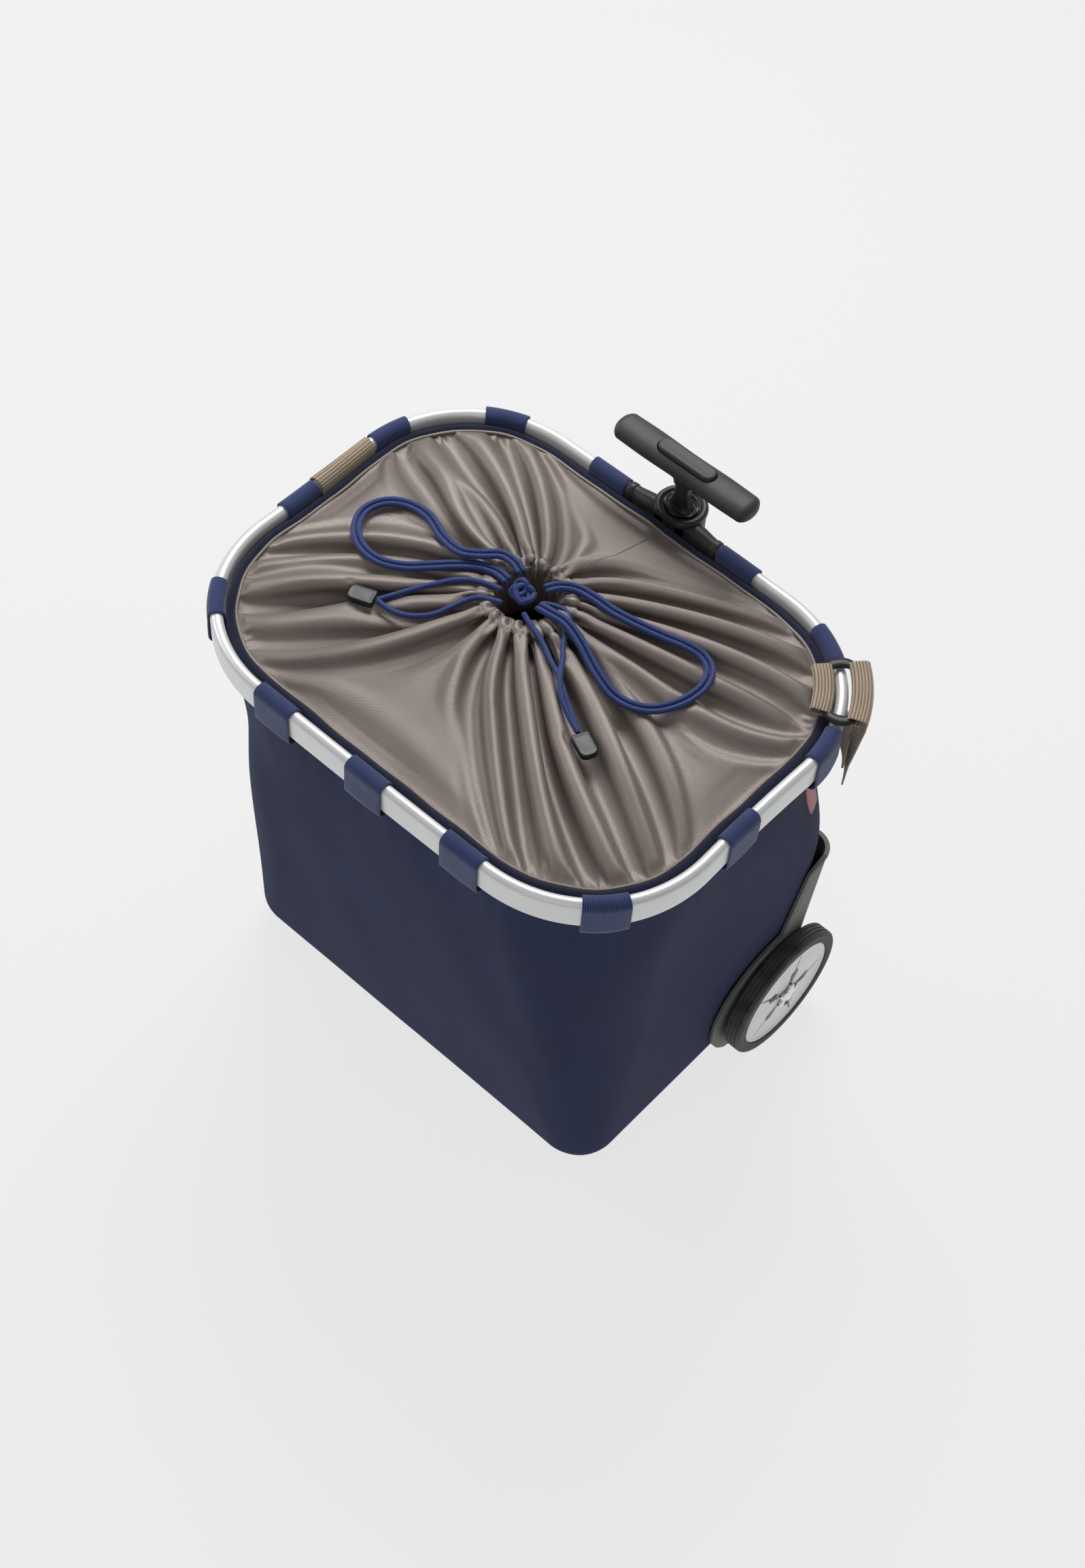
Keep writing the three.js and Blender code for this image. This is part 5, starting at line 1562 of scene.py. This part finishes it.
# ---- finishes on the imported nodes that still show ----
by_slot = {"aluminium_tube": "aluminium", "black_plastic": "black", "black_tube": "black",
           "grip_plastic": "grip", "steel": "steel", "chassis_plastic": "chassis", "tyre": "tyre",
           "wheel_plastic": "disc", "chrome": "chrome", "cord_braid": "cord"}
for material in frame["record"]["materials"]:
    for name in material.get("nodes", []):
        node = frame["nodes"][name]
        node.data.materials.clear()
        # the nodes of the other slots are all replaced, so their finish is never seen
        node.data.materials.append(finishes[by_slot.get(material["slot"], "board")])


# ---- floor and light ----
def make_floor():
    f = Finish("pale_floor", 0.9, Specular_IOR_Level=0.1)
    f.colour(f.ramp(f.noise(0.6, 2), [(0.3, "EDEDED"), (0.7, "EFEFEF")]))
    glow = f.node("ShaderNodeEmission", {0: hex_colour("F1F1F1"), 1: 1.0})
    mix = f.node("ShaderNodeMixShader", {0: 0.84})
    f.tree.links.new(f.shader.outputs[0], mix.inputs[1])
    f.tree.links.new(glow.outputs[0], mix.inputs[2])
    f.tree.links.new(mix.outputs[0], f.tree.nodes["Material Output"].inputs[0])
    across = np.linspace(-6, 6, 13)
    x, y = np.meshgrid(across, across)
    points = np.stack([x, y, 0 * x], -1).reshape(-1, 3)
    floor = make_piece("floor", points, grid_faces(13, 13))
    floor.data.materials.append(f.material)


def make_light(name, at, toward, size, watts):
    data = bpy.data.lights.new(name, "AREA")
    data.shape, data.size, data.size_y = "RECTANGLE", size[0], size[1]
    data.energy = watts
    light = bpy.data.objects.new(name, data)
    light.location = from_ring(at)
    light.rotation_euler = (Vector(toward) - Vector(at)).to_track_quat("-Z", "Y").to_euler()
    bpy.context.scene.collection.objects.link(light)


make_floor()
make_light("softbox_above", (-0.7, 0.9, 1.9), (0, 0, 0.3), (1.1, 0.9), 30)
make_light("softbox_left", (-1.7, -0.5, 1.2), (0, 0, 0.25), (0.9, 0.9), 8)
make_light("fill_front", (1.0, -1.9, 1.5), (0, 0, 0.2), (1.4, 1.4), 5)
world = bpy.data.worlds.new("studio")
world.use_nodes = True
world.node_tree.nodes["Background"].inputs[0].default_value = (1, 1, 1, 1)
world.node_tree.nodes["Background"].inputs[1].default_value = 0.3
bpy.context.scene.world = world
bpy.context.scene.view_settings.view_transform = "Standard"
bpy.context.scene.view_settings.look = "None"

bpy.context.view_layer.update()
